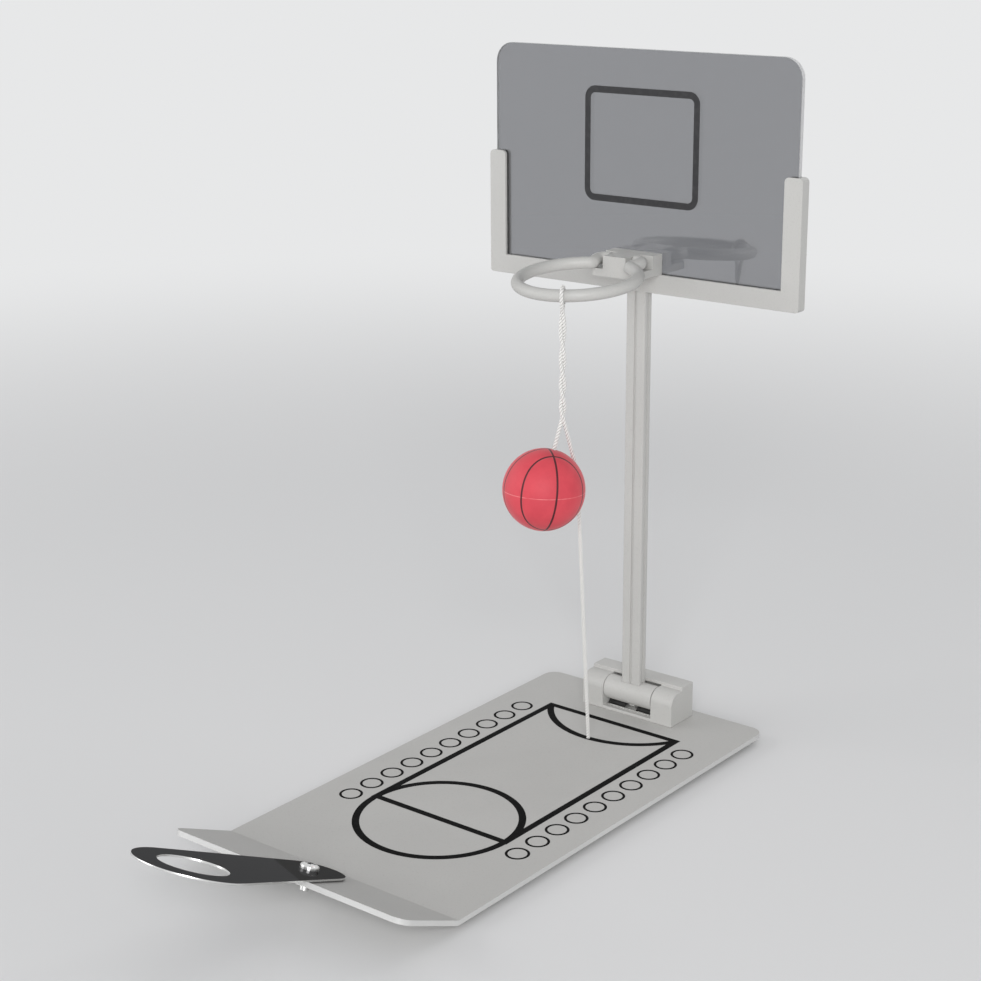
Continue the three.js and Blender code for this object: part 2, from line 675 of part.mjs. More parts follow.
function makeLauncherLeaf() {
  const outline = leafShape(launcher.tailAhead - launcher.tailRadius, launcher.headCutAhead);
  const hole = rodAlongZ(launcher.screwRadius + seatGap, -overrun, leafTop + overrun, 0,
    -launcher.screwAhead);
  return cut(extrudeAlongZ(outline, leafBottom, leafTop), hole);
}
addPiece("launcher_leaf", makeLauncherLeaf(), materials.polished, onFlange);

function makeLauncherHead() {
  const outline = leafShape(launcher.headCutAhead, launcher.headAhead + launcher.headRadius);
  const cup = rodAlongZ(
    launcher.cupRadius, -overrun, leafTop + overrun, 0, -launcher.headAhead, 2 * roundSides);
  return cut(extrudeAlongZ(outline, leafBottom, leafTop), cup);
}
addPiece("launcher_head", makeLauncherHead(), materials.polished, onFlange);

function ringShape(outerRadius, innerRadius, sides) {
  const shape = circleShape(outerRadius, sides);
  shape.holes.push(new THREE.Path(circleShape(innerRadius, roundSides).getPoints().reverse()));
  return shape;
}

const boltHoleRadius = launcher.screwRadius + seatGap;
const washer = extrudeAlongZ(ringShape(launcher.washerRadius, boltHoleRadius, roundSides), 0, leafBottom)
  .translate(0, -launcher.screwAhead, 0);
addPiece("launcher_washer", washer, materials.plated, onFlange);

const nutTop = -base.sheet;
const nutBottom = nutTop - launcher.nutHeight;
const nut = extrudeAlongZ(ringShape(launcher.nutRadius, boltHoleRadius, 6), nutBottom, nutTop)
  .translate(0, -launcher.screwAhead, 0);
addPiece("launcher_nut", nut, materials.plated, onFlange);

const clampScrewLength = leafTop - nutBottom + launcher.screwTail;
const clampScrew = turned(panScrew(
  launcher.screwHeadRadius, launcher.screwHeadHeight, launcher.screwRadius, clampScrewLength),
0, -launcher.screwAhead, leafTop);
addPiece("launcher_screw", clampScrew, materials.plated, onFlange);

// Ball, hung on the cord. The cord runs from a knot under the base, past the ball, up in a twisted pair
// to the hoop, over the rod and down again, and into the ball.

const ballCentre = new THREE.Vector3(ball.x, ball.y, ball.z);
addPiece("ball", new THREE.SphereGeometry(ball.radius, ball.sides, ball.rings).rotateX(Math.PI / 2)
  .translate(ball.x, ball.y, ball.z), materials.ballRubber);

const fork = new THREE.Vector3(cord.forkX, cord.forkY, cord.forkZ);
const rimOutward = new THREE.Vector2(Math.cos(cord.rimAngle), Math.sin(cord.rimAngle));
const rimPoint = droopPlace(new THREE.Vector2(
  hoop.radius * rimOutward.x, pivotY - hoop.centreAhead + hoop.radius * rimOutward.y));
const pairAxis = rimPoint.clone().sub(fork);
const pairUp = pairAxis.clone().normalize();
const pairOut = new THREE.Vector3(Math.cos(cord.loopAngle), Math.sin(cord.loopAngle), 0);
pairOut.addScaledVector(pairUp, -pairOut.dot(pairUp)).normalize();
const pairSide = new THREE.Vector3().crossVectors(pairUp, pairOut);
const loopRadius = hoop.rodRadius + seatGap + cord.radius;

// One strand of the pair: share runs from 0 at the fork to 1 beside the rod, strand is 1 or -1
function strandPoint(share, strand) {
  const opening = Math.max(0, (share - (1 - cord.flareShare)) / cord.flareShare);
  const spread = cord.pairRadius + (loopRadius - cord.pairRadius) * Math.sin((opening * Math.PI) / 2) ** 2;
  const along = Math.min(1, share / cord.twistShare);
  const turned = along * (1 + cord.tightenShare * (1 - along));
  const angle = 2 * Math.PI * cord.twists * (1 - turned);
  return fork.clone().addScaledVector(pairAxis, share)
    .addScaledVector(pairOut, strand * spread * Math.cos(angle))
    .addScaledVector(pairSide, strand * spread * Math.sin(angle));
}

function pairRoute() {
  const count = Math.round(cord.twists * cord.stepsPerTwist / (1 - cord.flareShare));
  const shares = Array.from({ length: count + 1 }, (_, i) => i / count);
  const up = shares.map((share) => strandPoint(share, 1));
  const down = shares.slice().reverse().map((share) => strandPoint(share, -1));
  const over = arc(0, 0, loopRadius, 0, Math.PI, cord.loopSteps).slice(1, -1).map((p) => rimPoint.clone()
    .addScaledVector(pairOut, p.x).addScaledVector(pairUp, p.y));
  return [...up, ...over, ...down];
}

const pairPoints = pairRoute();
addPiece("cord_pair", tube(pairPoints, cord.radius, cord.sides, 92), materials.cotton);

function leastGap(points) {
  const curve = new THREE.CatmullRomCurve3(points, false, "centripetal");
  const samples = curve.getSpacedPoints(400);
  const spacing = curve.getLength() / 400;
  const apart = Math.ceil((Math.PI * cord.pairRadius + 2 * cord.radius) * 2 / spacing);
  let least = Infinity;
  for (let i = 0; i < samples.length; i += 1) {
    for (let j = i + apart; j < samples.length; j += 1) {
      least = Math.min(least, samples[i].distanceTo(samples[j]));
    }
  }
  return least - 2 * cord.radius;
}
console.log(`least gap in the twisted pair: ${leastGap(pairPoints).toFixed(2)} mm`);

// Free strands. Each starts and ends a seat's gap away from what it continues.
const pairStart = pairPoints[0];
const pairEnd = pairPoints[pairPoints.length - 1];

function wrapPoint(elevation) {
  const beside = new THREE.Vector2(fork.x - ball.x, fork.y - ball.y).normalize();
  const reach = ball.radius + seatGap + cord.radius;
  return ballCentre.clone().add(new THREE.Vector3(
    beside.x * reach * Math.cos(elevation), beside.y * reach * Math.cos(elevation),
    reach * Math.sin(elevation)));
}

const wrapLow = wrapPoint(cord.wrapLowAngle);
const wrapHigh = wrapPoint(cord.wrapHighAngle);
const holeTop = new THREE.Vector3(base.cordHoleX, base.cordHoleY, 0);
const holeBottom = holeTop.clone().setZ(-base.sheet - seatGap);
const strandUp = wrapLow.clone().sub(holeTop).normalize();
const onStrand = (share, shift) => holeTop.clone().lerp(wrapLow, share).addScaledVector(strandUp, shift);
const [lowShare, highShare] = cord.strandShares;
const half = seatGap / 2;

const strands = {
  cord_strand_lower: [[holeBottom, holeTop, onStrand(lowShare / 2, 0), onStrand(lowShare, -half)], 12],
  cord_strand_middle: [[
    onStrand(lowShare, half), onStrand((lowShare + highShare) / 2, 0), onStrand(highShare, -half)], 10],
  cord_strand_upper: [[
    onStrand(highShare, half), onStrand((highShare + 1) / 2, 0), wrapLow,
    wrapPoint((cord.wrapLowAngle + cord.wrapHighAngle) / 2), wrapHigh,
    wrapHigh.clone().lerp(pairStart, cord.joinShare)], 20],
};
for (const [name, [route, steps]] of Object.entries(strands)) {
  addPiece(name, tube(route, cord.radius, cord.sides, steps), materials.cotton);
}

const towardsFork = pairEnd.clone().sub(ballCentre).normalize();
const ballTop = ballCentre.clone().addScaledVector(towardsFork, ball.radius + seatGap);
const ballRoute = [ballTop, ballTop.clone().lerp(pairEnd, 0.5),
  pairEnd.clone().addScaledVector(towardsFork, -seatGap)];
addPiece("cord_ball_strand", tube(ballRoute, cord.radius, cord.sides, 5), materials.cotton);

const knotHeight = 2 * cord.knotRadius * cord.knotFlatShare;
const knot = new THREE.SphereGeometry(cord.knotRadius, 16, 10).rotateX(Math.PI / 2)
  .scale(1, 1, cord.knotFlatShare)
  .translate(holeTop.x, holeTop.y, holeBottom.z - seatGap - knotHeight / 2);
addPiece("cord_knot", knot, materials.cotton);

// The origin lies on the table, midway along the game and across it.
const tipY = -base.length - (launcher.headAhead + launcher.headRadius) * Math.cos(base.flangeAngle)
  + leafBottom * Math.sin(base.flangeAngle);
drawn.position.set(0, -tipY / 2, base.sheet + foot.height);

export default game;
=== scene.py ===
"""Looks for a tabletop basketball game.

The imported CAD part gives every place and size. This script gives the part its finishes, its printed
court, its cord and its ball, and sets up the floor, the light and the camera of the photograph.

Sizes are millimetres on the game's own drawing: X to the right, Y 0 at the base's rear edge, Z 0 on
the base's top face. `place` turns them into metres in the part's frame.
"""

from __future__ import annotations

import json
import logging
import math
from collections.abc import Iterable, Sequence
from dataclasses import dataclass, field
from enum import Enum
from typing import Protocol

import bmesh
import bpy
import numpy as np
from mathutils import Matrix, Vector

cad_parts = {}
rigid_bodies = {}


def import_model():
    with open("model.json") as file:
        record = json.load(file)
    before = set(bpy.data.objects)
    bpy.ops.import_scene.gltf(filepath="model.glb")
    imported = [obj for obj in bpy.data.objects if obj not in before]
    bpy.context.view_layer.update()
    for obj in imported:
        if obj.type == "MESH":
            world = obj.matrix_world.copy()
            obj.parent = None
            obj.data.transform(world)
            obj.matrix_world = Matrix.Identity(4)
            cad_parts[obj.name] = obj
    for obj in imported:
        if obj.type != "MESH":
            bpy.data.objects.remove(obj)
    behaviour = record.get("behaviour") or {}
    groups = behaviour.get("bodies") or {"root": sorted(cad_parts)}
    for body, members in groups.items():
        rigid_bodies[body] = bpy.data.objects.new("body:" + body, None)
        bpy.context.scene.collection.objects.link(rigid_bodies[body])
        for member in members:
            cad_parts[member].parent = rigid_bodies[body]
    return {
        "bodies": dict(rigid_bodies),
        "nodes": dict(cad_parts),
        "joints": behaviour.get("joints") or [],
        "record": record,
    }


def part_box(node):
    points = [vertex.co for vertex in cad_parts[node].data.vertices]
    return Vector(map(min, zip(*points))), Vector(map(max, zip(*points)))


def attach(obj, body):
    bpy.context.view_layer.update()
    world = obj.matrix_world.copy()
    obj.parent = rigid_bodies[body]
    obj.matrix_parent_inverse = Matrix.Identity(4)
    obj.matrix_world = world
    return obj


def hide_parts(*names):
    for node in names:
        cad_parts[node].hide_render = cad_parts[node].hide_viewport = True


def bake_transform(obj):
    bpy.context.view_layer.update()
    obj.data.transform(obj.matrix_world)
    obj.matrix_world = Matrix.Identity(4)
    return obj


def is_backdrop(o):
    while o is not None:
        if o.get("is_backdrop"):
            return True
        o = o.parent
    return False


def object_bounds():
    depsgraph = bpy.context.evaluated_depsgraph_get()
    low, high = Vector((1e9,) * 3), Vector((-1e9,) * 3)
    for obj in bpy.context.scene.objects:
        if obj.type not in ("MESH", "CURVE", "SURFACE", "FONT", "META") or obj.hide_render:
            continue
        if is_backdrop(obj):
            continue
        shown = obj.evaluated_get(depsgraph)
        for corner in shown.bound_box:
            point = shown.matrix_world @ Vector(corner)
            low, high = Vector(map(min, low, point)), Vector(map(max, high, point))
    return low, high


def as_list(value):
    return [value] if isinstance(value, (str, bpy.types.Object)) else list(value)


log = logging.getLogger("tabletop_basketball")

Colour = tuple[float, float, float]
Point = tuple[float, float, float]

MM = 0.001
QUARTER = math.pi / 2
FULL = 2 * math.pi
FRAME_SHIFT = Vector((0.0, 0.12719164, 0.0042))
FINISH_INPUT = "Finish"

# Meshes: points on a span of a curve, merging in millimetres, angles between two faces
SPAN_STEPS = 24
MERGE_WITHIN = 0.004
FLAT_WITHIN = math.radians(0.6)
ROUND_FROM = math.radians(32)
SHARP_FROM = math.radians(38)
SCREW_SHARP_FROM = math.radians(35)
FACE_WEIGHT = 90

# Cross recess: its rise over the head in millimetres, and shares of its length and of its arm
RECESS_RUN_OUT = 0.3
RECESS_ARM_SHARE = 0.3
RECESS_FOOT_SHARE = 0.7

# Laid cord and printed circles
PLY_ROUNDNESS = 0.8
CIRCLE_SIDES = 64

# Octaves of a soft and of a crisp noise
SOFT = 2
CRISP = 3


class Slot(str, Enum):
    """Material slots of the record."""

    PAINTED = "painted_metal"
    CLEAR = "clear_board"
    POLISHED = "polished_steel"
    PLATED = "plated_steel"
    PAD = "black_rubber"
    BALL = "ball_rubber"
    CORD = "white_cord"


class Body(str, Enum):
    """Moving bodies of the record."""

    BASE = "base"
    MAST = "mast"
    HOOP = "hoop"
    LAUNCHER = "launcher"
    BALL = "hanging_ball"


class Edge(Enum):
    """Widths of rounded edges in millimetres, by how the piece is made."""

    STAMPED = 0.0
    SAWN = 0.12
    DRAWN = 0.16
    FOLDED = 0.22
    TURNED = 0.3
    CAST = 0.5


class Facing(Enum):
    """Ways in which a screw's head faces, as turns that bring +Z there."""

    DOWN = Matrix.Rotation(math.pi, 4, "X")
    REAR = Matrix.Rotation(-QUARTER, 4, "X")


def place(x: float, y: float, z: float) -> Vector:
    """Turns millimetres on the drawing into metres in the part's frame."""
    return Vector((x, y, z)) * MM + FRAME_SHIFT


@dataclass(frozen=True)
class Flange:
    """The base's rising flange, which carries the launcher."""

    bend_y: float = -176.6
    angle: float = math.radians(23.9)

    def on(self, x: float, ahead: float, height: float) -> Vector:
        """Gives a point from its place to the right, ahead of the bend and above the flange."""
        cos, sin = math.cos(self.angle), math.sin(self.angle)
        return place(x, self.bend_y - ahead * cos + height * sin, ahead * sin + height * cos)

    def upward(self) -> Vector:
        """Gives the flange's normal."""
        return Vector((0.0, math.sin(self.angle), math.cos(self.angle)))


FLANGE = Flange()


# Lines and meshes


def arc(a: float, b: float, radius: float, start: float, end: float,
        steps: int) -> list[np.ndarray]:
    """Gives points in a plane on an arc round (a, b), from the start angle to the end angle."""
    angles = np.linspace(start, end, steps + 1)
    return [np.array([a + radius * math.cos(t), b + radius * math.sin(t)]) for t in angles]


def ring(a: float, b: float, radius: float, steps: int) -> list[np.ndarray]:
    """Gives points in a plane on a whole circle round (a, b), each once."""
    return arc(a, b, radius, 0, FULL, steps)[:-1]


def mirrored(points: Sequence[np.ndarray]) -> list[np.ndarray]:
    """Gives the points of a line's other half, mirrored in X and in reverse order."""
    return [np.array([-p[0], p[1]]) for p in reversed(points)]


def cubic(p0: np.ndarray, p1: np.ndarray, p2: np.ndarray, p3: np.ndarray,
          steps: int) -> list[np.ndarray]:
    """Gives points on a cubic Bezier curve.

    Args:
        p0: First point.
        p1: First handle.
        p2: Second handle.
        p3: Last point.
        steps: Number of steps.

    Returns:
        Points along the curve.
    """
    points = []
    for t in np.linspace(0, 1, steps + 1):
        left = 1 - t
        points.append(left**3 * p0 + 3 * left**2 * t * p1 + 3 * left * t**2 * p2 + t**3 * p3)
    return points


def smooth_line(points: Sequence[np.ndarray], spacing: float) -> np.ndarray:
    """Runs a centripetal Catmull-Rom curve through points.

    Args:
        points: Points that it passes through.
        spacing: Distance between the points returned.

    Returns:
        Evenly spaced points.
    """
    given = [np.asarray(p, float) for p in points]
    padded = [2 * given[0] - given[1], *given, 2 * given[-1] - given[-2]]
    dense: list[np.ndarray] = []
    for p0, p1, p2, p3 in zip(padded, padded[1:], padded[2:], padded[3:]):
        t0 = 0.0
        t1 = t0 + math.sqrt(np.linalg.norm(p1 - p0))
        t2 = t1 + math.sqrt(np.linalg.norm(p2 - p1))
        t3 = t2 + math.sqrt(np.linalg.norm(p3 - p2))
        for t in np.linspace(t1, t2, SPAN_STEPS, endpoint=False):
            a1 = (t1 - t) / (t1 - t0) * p0 + (t - t0) / (t1 - t0) * p1
            a2 = (t2 - t) / (t2 - t1) * p1 + (t - t1) / (t2 - t1) * p2
            a3 = (t3 - t) / (t3 - t2) * p2 + (t - t2) / (t3 - t2) * p3
            b1 = (t2 - t) / (t2 - t0) * a1 + (t - t0) / (t2 - t0) * a2
            b2 = (t3 - t) / (t3 - t1) * a2 + (t - t1) / (t3 - t1) * a3
            dense.append((t2 - t) / (t2 - t1) * b1 + (t - t1) / (t2 - t1) * b2)
    dense.append(given[-1])
    line = np.array(dense)
    run = np.concatenate([[0], np.cumsum(np.linalg.norm(np.diff(line, axis=0), axis=1))])
    even = np.linspace(0, run[-1], max(2, round(run[-1] / spacing)) + 1)
    return np.column_stack([np.interp(even, run, line[:, i]) for i in range(3)])


def to_frame(points: Iterable[np.ndarray]) -> list[Vector]:
    """Turns points of the drawing into the part's frame."""
    return [place(*p) for p in points]


def add_object(name: str, mesh: bpy.types.Mesh) -> bpy.types.Object:
    """Puts a mesh in the scene.

    Args:
        name: Name of the piece.
        mesh: Its mesh.

    Returns:
        The new object.
    """
    piece = bpy.data.objects.new(name, mesh)
    bpy.context.scene.collection.objects.link(piece)
    return piece


def mesh_of(name: str, build: bmesh.types.BMesh) -> bpy.types.Mesh:
    """Turns an edited mesh into a mesh, and frees it.

    Args:
        name: Name of the mesh.
        build: The edited mesh.

    Returns:
        The mesh.
    """
    mesh = bpy.data.meshes.new(name)
    build.to_mesh(mesh)
    build.free()
    return mesh


def face_outward(mesh: bpy.types.Mesh) -> None:
    """Turns a closed mesh's faces outward.

    Args:
        mesh: Mesh to turn.
    """
    build = bmesh.new()
    build.from_mesh(mesh)
    bmesh.ops.recalc_face_normals(build, faces=build.faces)
    build.to_mesh(mesh)
    build.free()


def bake(piece: bpy.types.Object) -> bpy.types.Object:
    """Applies a piece's modifiers to its mesh.

    Args:
        piece: Piece with modifiers.

    Returns:
        The same piece, with none.
    """
    bpy.context.view_layer.update()
    graph = bpy.context.evaluated_depsgraph_get()
    mesh = bpy.data.meshes.new_from_object(piece.evaluated_get(graph))
    piece.modifiers.clear()
    piece.data = mesh
    mesh.name = piece.name
    return piece


def smooth(piece: bpy.types.Object, sharp_from: float) -> None:
    """Shades a piece smooth, apart from edges between faces at a wider angle."""
    piece.data.shade_smooth()
    piece.data.set_sharp_from_angle(angle=sharp_from)


def settle_normals(piece: bpy.types.Object, sharp_from: float = SHARP_FROM) -> bpy.types.Object:
    """Smooths a piece's rounds and keeps its flat faces flat.

    Args:
        piece: Piece to smooth.
        sharp_from: Angle between two faces from which their edge stays sharp.

    Returns:
        The same piece.
    """
    smooth(piece, sharp_from)
    weigh = piece.modifiers.new("flat_faces", "WEIGHTED_NORMAL")
    weigh.mode = "FACE_AREA"
    weigh.weight = FACE_WEIGHT
    weigh.keep_sharp = True
    return bake(piece)


def round_edges(piece: bpy.types.Object, width: float, segments: int,
                rim_and_highlight_slot: int = -1) -> bpy.types.Object:
    """Rounds a piece's sharp edges.

    Args:
        piece: Piece to round.
        width: Width of the round in millimetres.
        segments: Steps across it.
        rim_and_highlight_slot: Material of the rounds, or -1 for that of their faces; on the launcher
            leaf it is brighter steel, a painted highlight.

    Returns:
        The same piece.
    """
    bevel = piece.modifiers.new("round", "BEVEL")
    bevel.width = width * MM
    bevel.segments = segments
    bevel.limit_method = "ANGLE"
    bevel.angle_limit = ROUND_FROM
    bevel.use_clamp_overlap = True
    bevel.miter_outer = "MITER_ARC"
    bevel.material = rim_and_highlight_slot
    return bake(piece)


def flat_band(name: str, left: Sequence[Vector], right: Sequence[Vector], rise: Vector,
              closed: bool) -> bpy.types.Object:
    """Makes a thin printed line as a closed solid.

    Args:
        name: Name of the piece.
        left: One edge of its lower face.
        right: The other edge, point for point.
        rise: From the lower face to the upper one.
        closed: Whether the line joins up with itself.

    Returns:
        The line.
    """
    count = len(left)
    vertices = [*left, *right, *(p + rise for p in left), *(p + rise for p in right)]
    low_left, low_right, high_left, high_right = (count * i for i in range(4))
    faces: list[tuple[int, ...]] = []
    for i in range(count if closed else count - 1):
        j = (i + 1) % count
        faces += [
            (low_left + i, low_left + j, low_right + j, low_right + i),
            (high_left + i, high_right + i, high_right + j, high_left + j),
            (low_left + i, high_left + i, high_left + j, low_left + j),
            (low_right + i, low_right + j, high_right + j, high_right + i),
        ]
    if not closed:
        end = count - 1
        faces += [
            (low_left, low_right, high_right, high_left),
            (low_left + end, high_left + end, high_right + end, low_right + end),
        ]
    mesh = bpy.data.meshes.new(name)
    mesh.from_pydata([tuple(v) for v in vertices], [], faces)
    face_outward(mesh)
    return add_object(name, mesh)


def offset_line(points: Sequence[np.ndarray], width: float, closed: bool) -> tuple[list, list]:
    """Widens a line in its plane, with mitred corners.

    Args:
        points: Centre line in the plane.
        width: Width of the line.
        closed: Whether the line joins up with itself.

    Returns:
        Its two edges.
    """
    count = len(points)
    left, right = [], []
    for i, point in enumerate(points):
        before = points[(i - 1) % count] if closed or i else None
        after = points[(i + 1) % count] if closed or i < count - 1 else None
        into = point - before if before is not None else after - point
        out = after - point if after is not None else point - before
        n_in = np.array([-into[1], into[0]]) / np.hypot(*into)
        n_out = np.array([-out[1], out[0]]) / np.hypot(*out)
        mean = (n_in + n_out) / np.hypot(*(n_in + n_out))
        reach = width / 2 / float(np.dot(mean, n_in))
        left.append(point + mean * reach)
        right.append(point - mean * reach)
    return left, right


def half_box(node: str) -> tuple[Vector, Vector]:
    """Gives the middle of a CAD node's box and half its size, in metres."""
    low, high = (Vector(corner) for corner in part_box(node))
    return (low + high) / 2, (high - low) / 2


def carve_cross(piece: bpy.types.Object, seat: Matrix, reach: float, depth: float,
                recess_shade: bpy.types.Material) -> bpy.types.Object:
    """Cuts a cross recess into a screw's head.

    Args:
        piece: Screw.
        seat: Frame in metres with its origin on the head's outer face and +Z pointing out.
        reach: Half the length of the cross in millimetres.
        depth: Depth of the recess.
        recess_shade: Dark finish that lines the recess, painted shade in the hollow.

    Returns:
        The same piece.
    """
    arm = reach * RECESS_ARM_SHARE
    foot = arm * RECESS_FOOT_SHARE
    build = bmesh.new()
    for turn in (0.0, QUARTER):
        frame = seat @ Matrix.Rotation(turn, 4, "Z")
        upper, lower = (
            [build.verts.new(frame @ (Vector((x, y, height)) * MM))
             for x, y in ((-long, -wide), (long, -wide), (long, wide), (-long, wide))]
            for long, wide, height in ((reach, arm, RECESS_RUN_OUT), (arm, foot, -depth))
        )
        build.faces.new(upper)
        build.faces.new(list(reversed(lower)))
        for i in range(4):
            j = (i + 1) % 4
            build.faces.new((lower[i], lower[j], upper[j], upper[i]))
    tool = add_object("recess_tool", mesh_of("recess_tool", build))
    # The recess takes a dark finish, painted shade in the hollow.
    tool.data.materials.append(recess_shade)
    carve = piece.modifiers.new("recess", "BOOLEAN")
    carve.operation = "DIFFERENCE"
    carve.solver = "EXACT"
    carve.use_self = True
    carve.material_mode = "TRANSFER"
    carve.object = tool
    bake(piece)
    bpy.data.objects.remove(tool)
    return piece


# Node trees


class Nodes:
    """A tree of nodes, to which nodes are added."""

    def __init__(self, tree: bpy.types.NodeTree) -> None:
        """Takes the tree."""
        self.tree = tree

    def feed(self, value: object, socket: bpy.types.NodeSocket) -> None:
        """Gives a socket a value or joins it to another socket.

        Args:
            value: Number, colour, vector or socket.
            socket: Input of a node.
        """
        if isinstance(value, bpy.types.NodeSocket):
            self.tree.links.new(value, socket)
        elif socket.type == "RGBA":
            socket.default_value = (*value, 1.0)
        else:
            socket.default_value = value

    def add(self, kind: str, **links: object) -> bpy.types.Node:
        """Adds a node.

        Args:
            kind: Type of the node.
            links: Names of its inputs, with underscores for spaces, and their values or sockets.

        Returns:
            The node.
        """
        node = self.tree.nodes.new(kind)
        for name, value in links.items():
            self.feed(value, node.inputs[name.replace("_", " ")])
        return node

    def operate(self, kind: str, operation: str, values: Sequence[object]) -> bpy.types.Node:
        """Adds a node that works something out.

        Args:
            kind: Type of the node.
            operation: Its operation.
            values: Values or sockets of its inputs, in their order.

        Returns:
            The node.
        """
        node = self.add(kind)
        node.operation = operation
        for value, socket in zip(values, node.inputs):
            self.feed(value, socket)
        return node

    def math(self, operation: str, *values: object) -> bpy.types.NodeSocket:
        """Works out a number from numbers or sockets."""
        return self.operate("ShaderNodeMath", operation, values).outputs[0]

    def vector(self, operation: str, *values: object) -> bpy.types.NodeSocket:
        """Works out a vector from vectors or sockets."""
        return self.operate("ShaderNodeVectorMath", operation, values).outputs["Vector"]

    def measure(self, operation: str, *values: object) -> bpy.types.NodeSocket:
        """Works out a number from vectors or sockets."""
        return self.operate("ShaderNodeVectorMath", operation, values).outputs["Value"]

    def seen(self) -> bpy.types.NodeSocket:
        """Tells rays that look at a surface from rays that light it.

        Returns:
            1 for rays from the camera, a mirror or a clear piece, otherwise 0.
        """
        rays = self.add("ShaderNodeLightPath").outputs
        direct = self.math("MAXIMUM", rays["Is Camera Ray"], rays["Is Glossy Ray"])
        return self.math("MAXIMUM", direct, rays["Is Transmission Ray"])

    def mix_shaders(self, share: object, first: object, second: object) -> bpy.types.NodeSocket:
        """Mixes two shaders.

        Args:
            share: Share of the second.
            first: First shader.
            second: Second shader.

        Returns:
            The mixed shader.
        """
        node = self.add("ShaderNodeMixShader")
        for value, socket in zip((share, first, second), node.inputs):
            self.feed(value, socket)
        return node.outputs[0]


class Recipe(Nodes):
    """A Geometry Nodes tree with named inputs, which is baked as soon as it is used."""

    def __init__(self, name: str, inputs: dict[str, str]) -> None:
        """Starts the tree.

        Args:
            name: Name of the tree.
            inputs: Names of its inputs and their socket types.
        """
        super().__init__(bpy.data.node_groups.new(name, "GeometryNodeTree"))
        sockets = self.tree.interface
        sockets.new_socket("Geometry", in_out="OUTPUT", socket_type="NodeSocketGeometry")
        sockets.new_socket("Geometry", in_out="INPUT", socket_type="NodeSocketGeometry")
        self.identifiers = {
            label: sockets.new_socket(label, in_out="INPUT", socket_type=kind).identifier
            for label, kind in {**inputs, FINISH_INPUT: "NodeSocketMaterial"}.items()
        }
        self.inputs = self.add("NodeGroupInput").outputs

    def store(self, geometry: bpy.types.NodeSocket, name: str,
              value: bpy.types.NodeSocket) -> bpy.types.NodeSocket:
        """Keeps a number on every point of a shape, for its material to read.

        Args:
            geometry: The shape.
            name: Name of the number.
            value: The number.

        Returns:
            The shape with the number.
        """
        node = self.add("GeometryNodeStoreNamedAttribute", Geometry=geometry, Name=name,
                        Value=value)
        return node.outputs[0]

    def finish(self, geometry: bpy.types.NodeSocket) -> Recipe:
        """Ends the tree with real geometry and its finish.

        Args:
            geometry: What it makes.

        Returns:
            The recipe.
        """
        real = self.add("GeometryNodeRealizeInstances", Geometry=geometry)
        painted = self.add("GeometryNodeSetMaterial", Geometry=real.outputs[0],
                           Material=self.inputs[FINISH_INPUT])
        self.add("NodeGroupOutput", Geometry=painted.outputs[0])
        return self

    def make(self, name: str, mesh: bpy.types.Mesh, finish: bpy.types.Material,
             values: dict[str, object]) -> bpy.types.Object:
        """Runs the tree on a mesh and bakes what comes out.

        Args:
            name: Name of the new piece.
            mesh: What the tree starts from.
            finish: Finish of the piece.
            values: Names of the inputs and their values.

        Returns:
            The new piece.
        """
        piece = add_object(name, mesh)
        modifier = piece.modifiers.new("recipe", "NODES")
        modifier.node_group = self.tree
        for label, value in {**values, FINISH_INPUT: finish}.items():
            modifier[self.identifiers[label]] = value
        bake(piece)
        face_outward(piece.data)
        return piece


def path_mesh(name: str, line: Sequence[Vector], closed: bool = False) -> bpy.types.Mesh:
    """Turns a line into a mesh of edges.

    Args:
        name: Name of the mesh.
        line: Points in metres.
        closed: Whether the line joins up with itself.

    Returns:
        The mesh.
    """
    edges = [(i, i + 1) for i in range(len(line) - 1)]
    if closed:
        edges.append((len(line) - 1, 0))
    mesh = bpy.data.meshes.new(name)
    mesh.from_pydata([tuple(p) for p in line], edges, [])
    return mesh


def rod_recipe() -> Recipe:
    """Makes the tree of a plain round rod along a line.

    Returns:
        The recipe.
    """
    recipe = Recipe("bent_rod", {"Rod radius": "NodeSocketFloat", "Sides": "NodeSocketInt"})
    line = recipe.add("GeometryNodeMeshToCurve", Mesh=recipe.inputs["Geometry"])
    section = recipe.add("GeometryNodeCurvePrimitiveCircle", Resolution=recipe.inputs["Sides"],
                         Radius=recipe.inputs["Rod radius"])
    tube = recipe.add("GeometryNodeCurveToMesh", Curve=line.outputs[0],
                      Profile_Curve=section.outputs[0], Fill_Caps=True)
    return recipe.finish(tube.outputs[0])


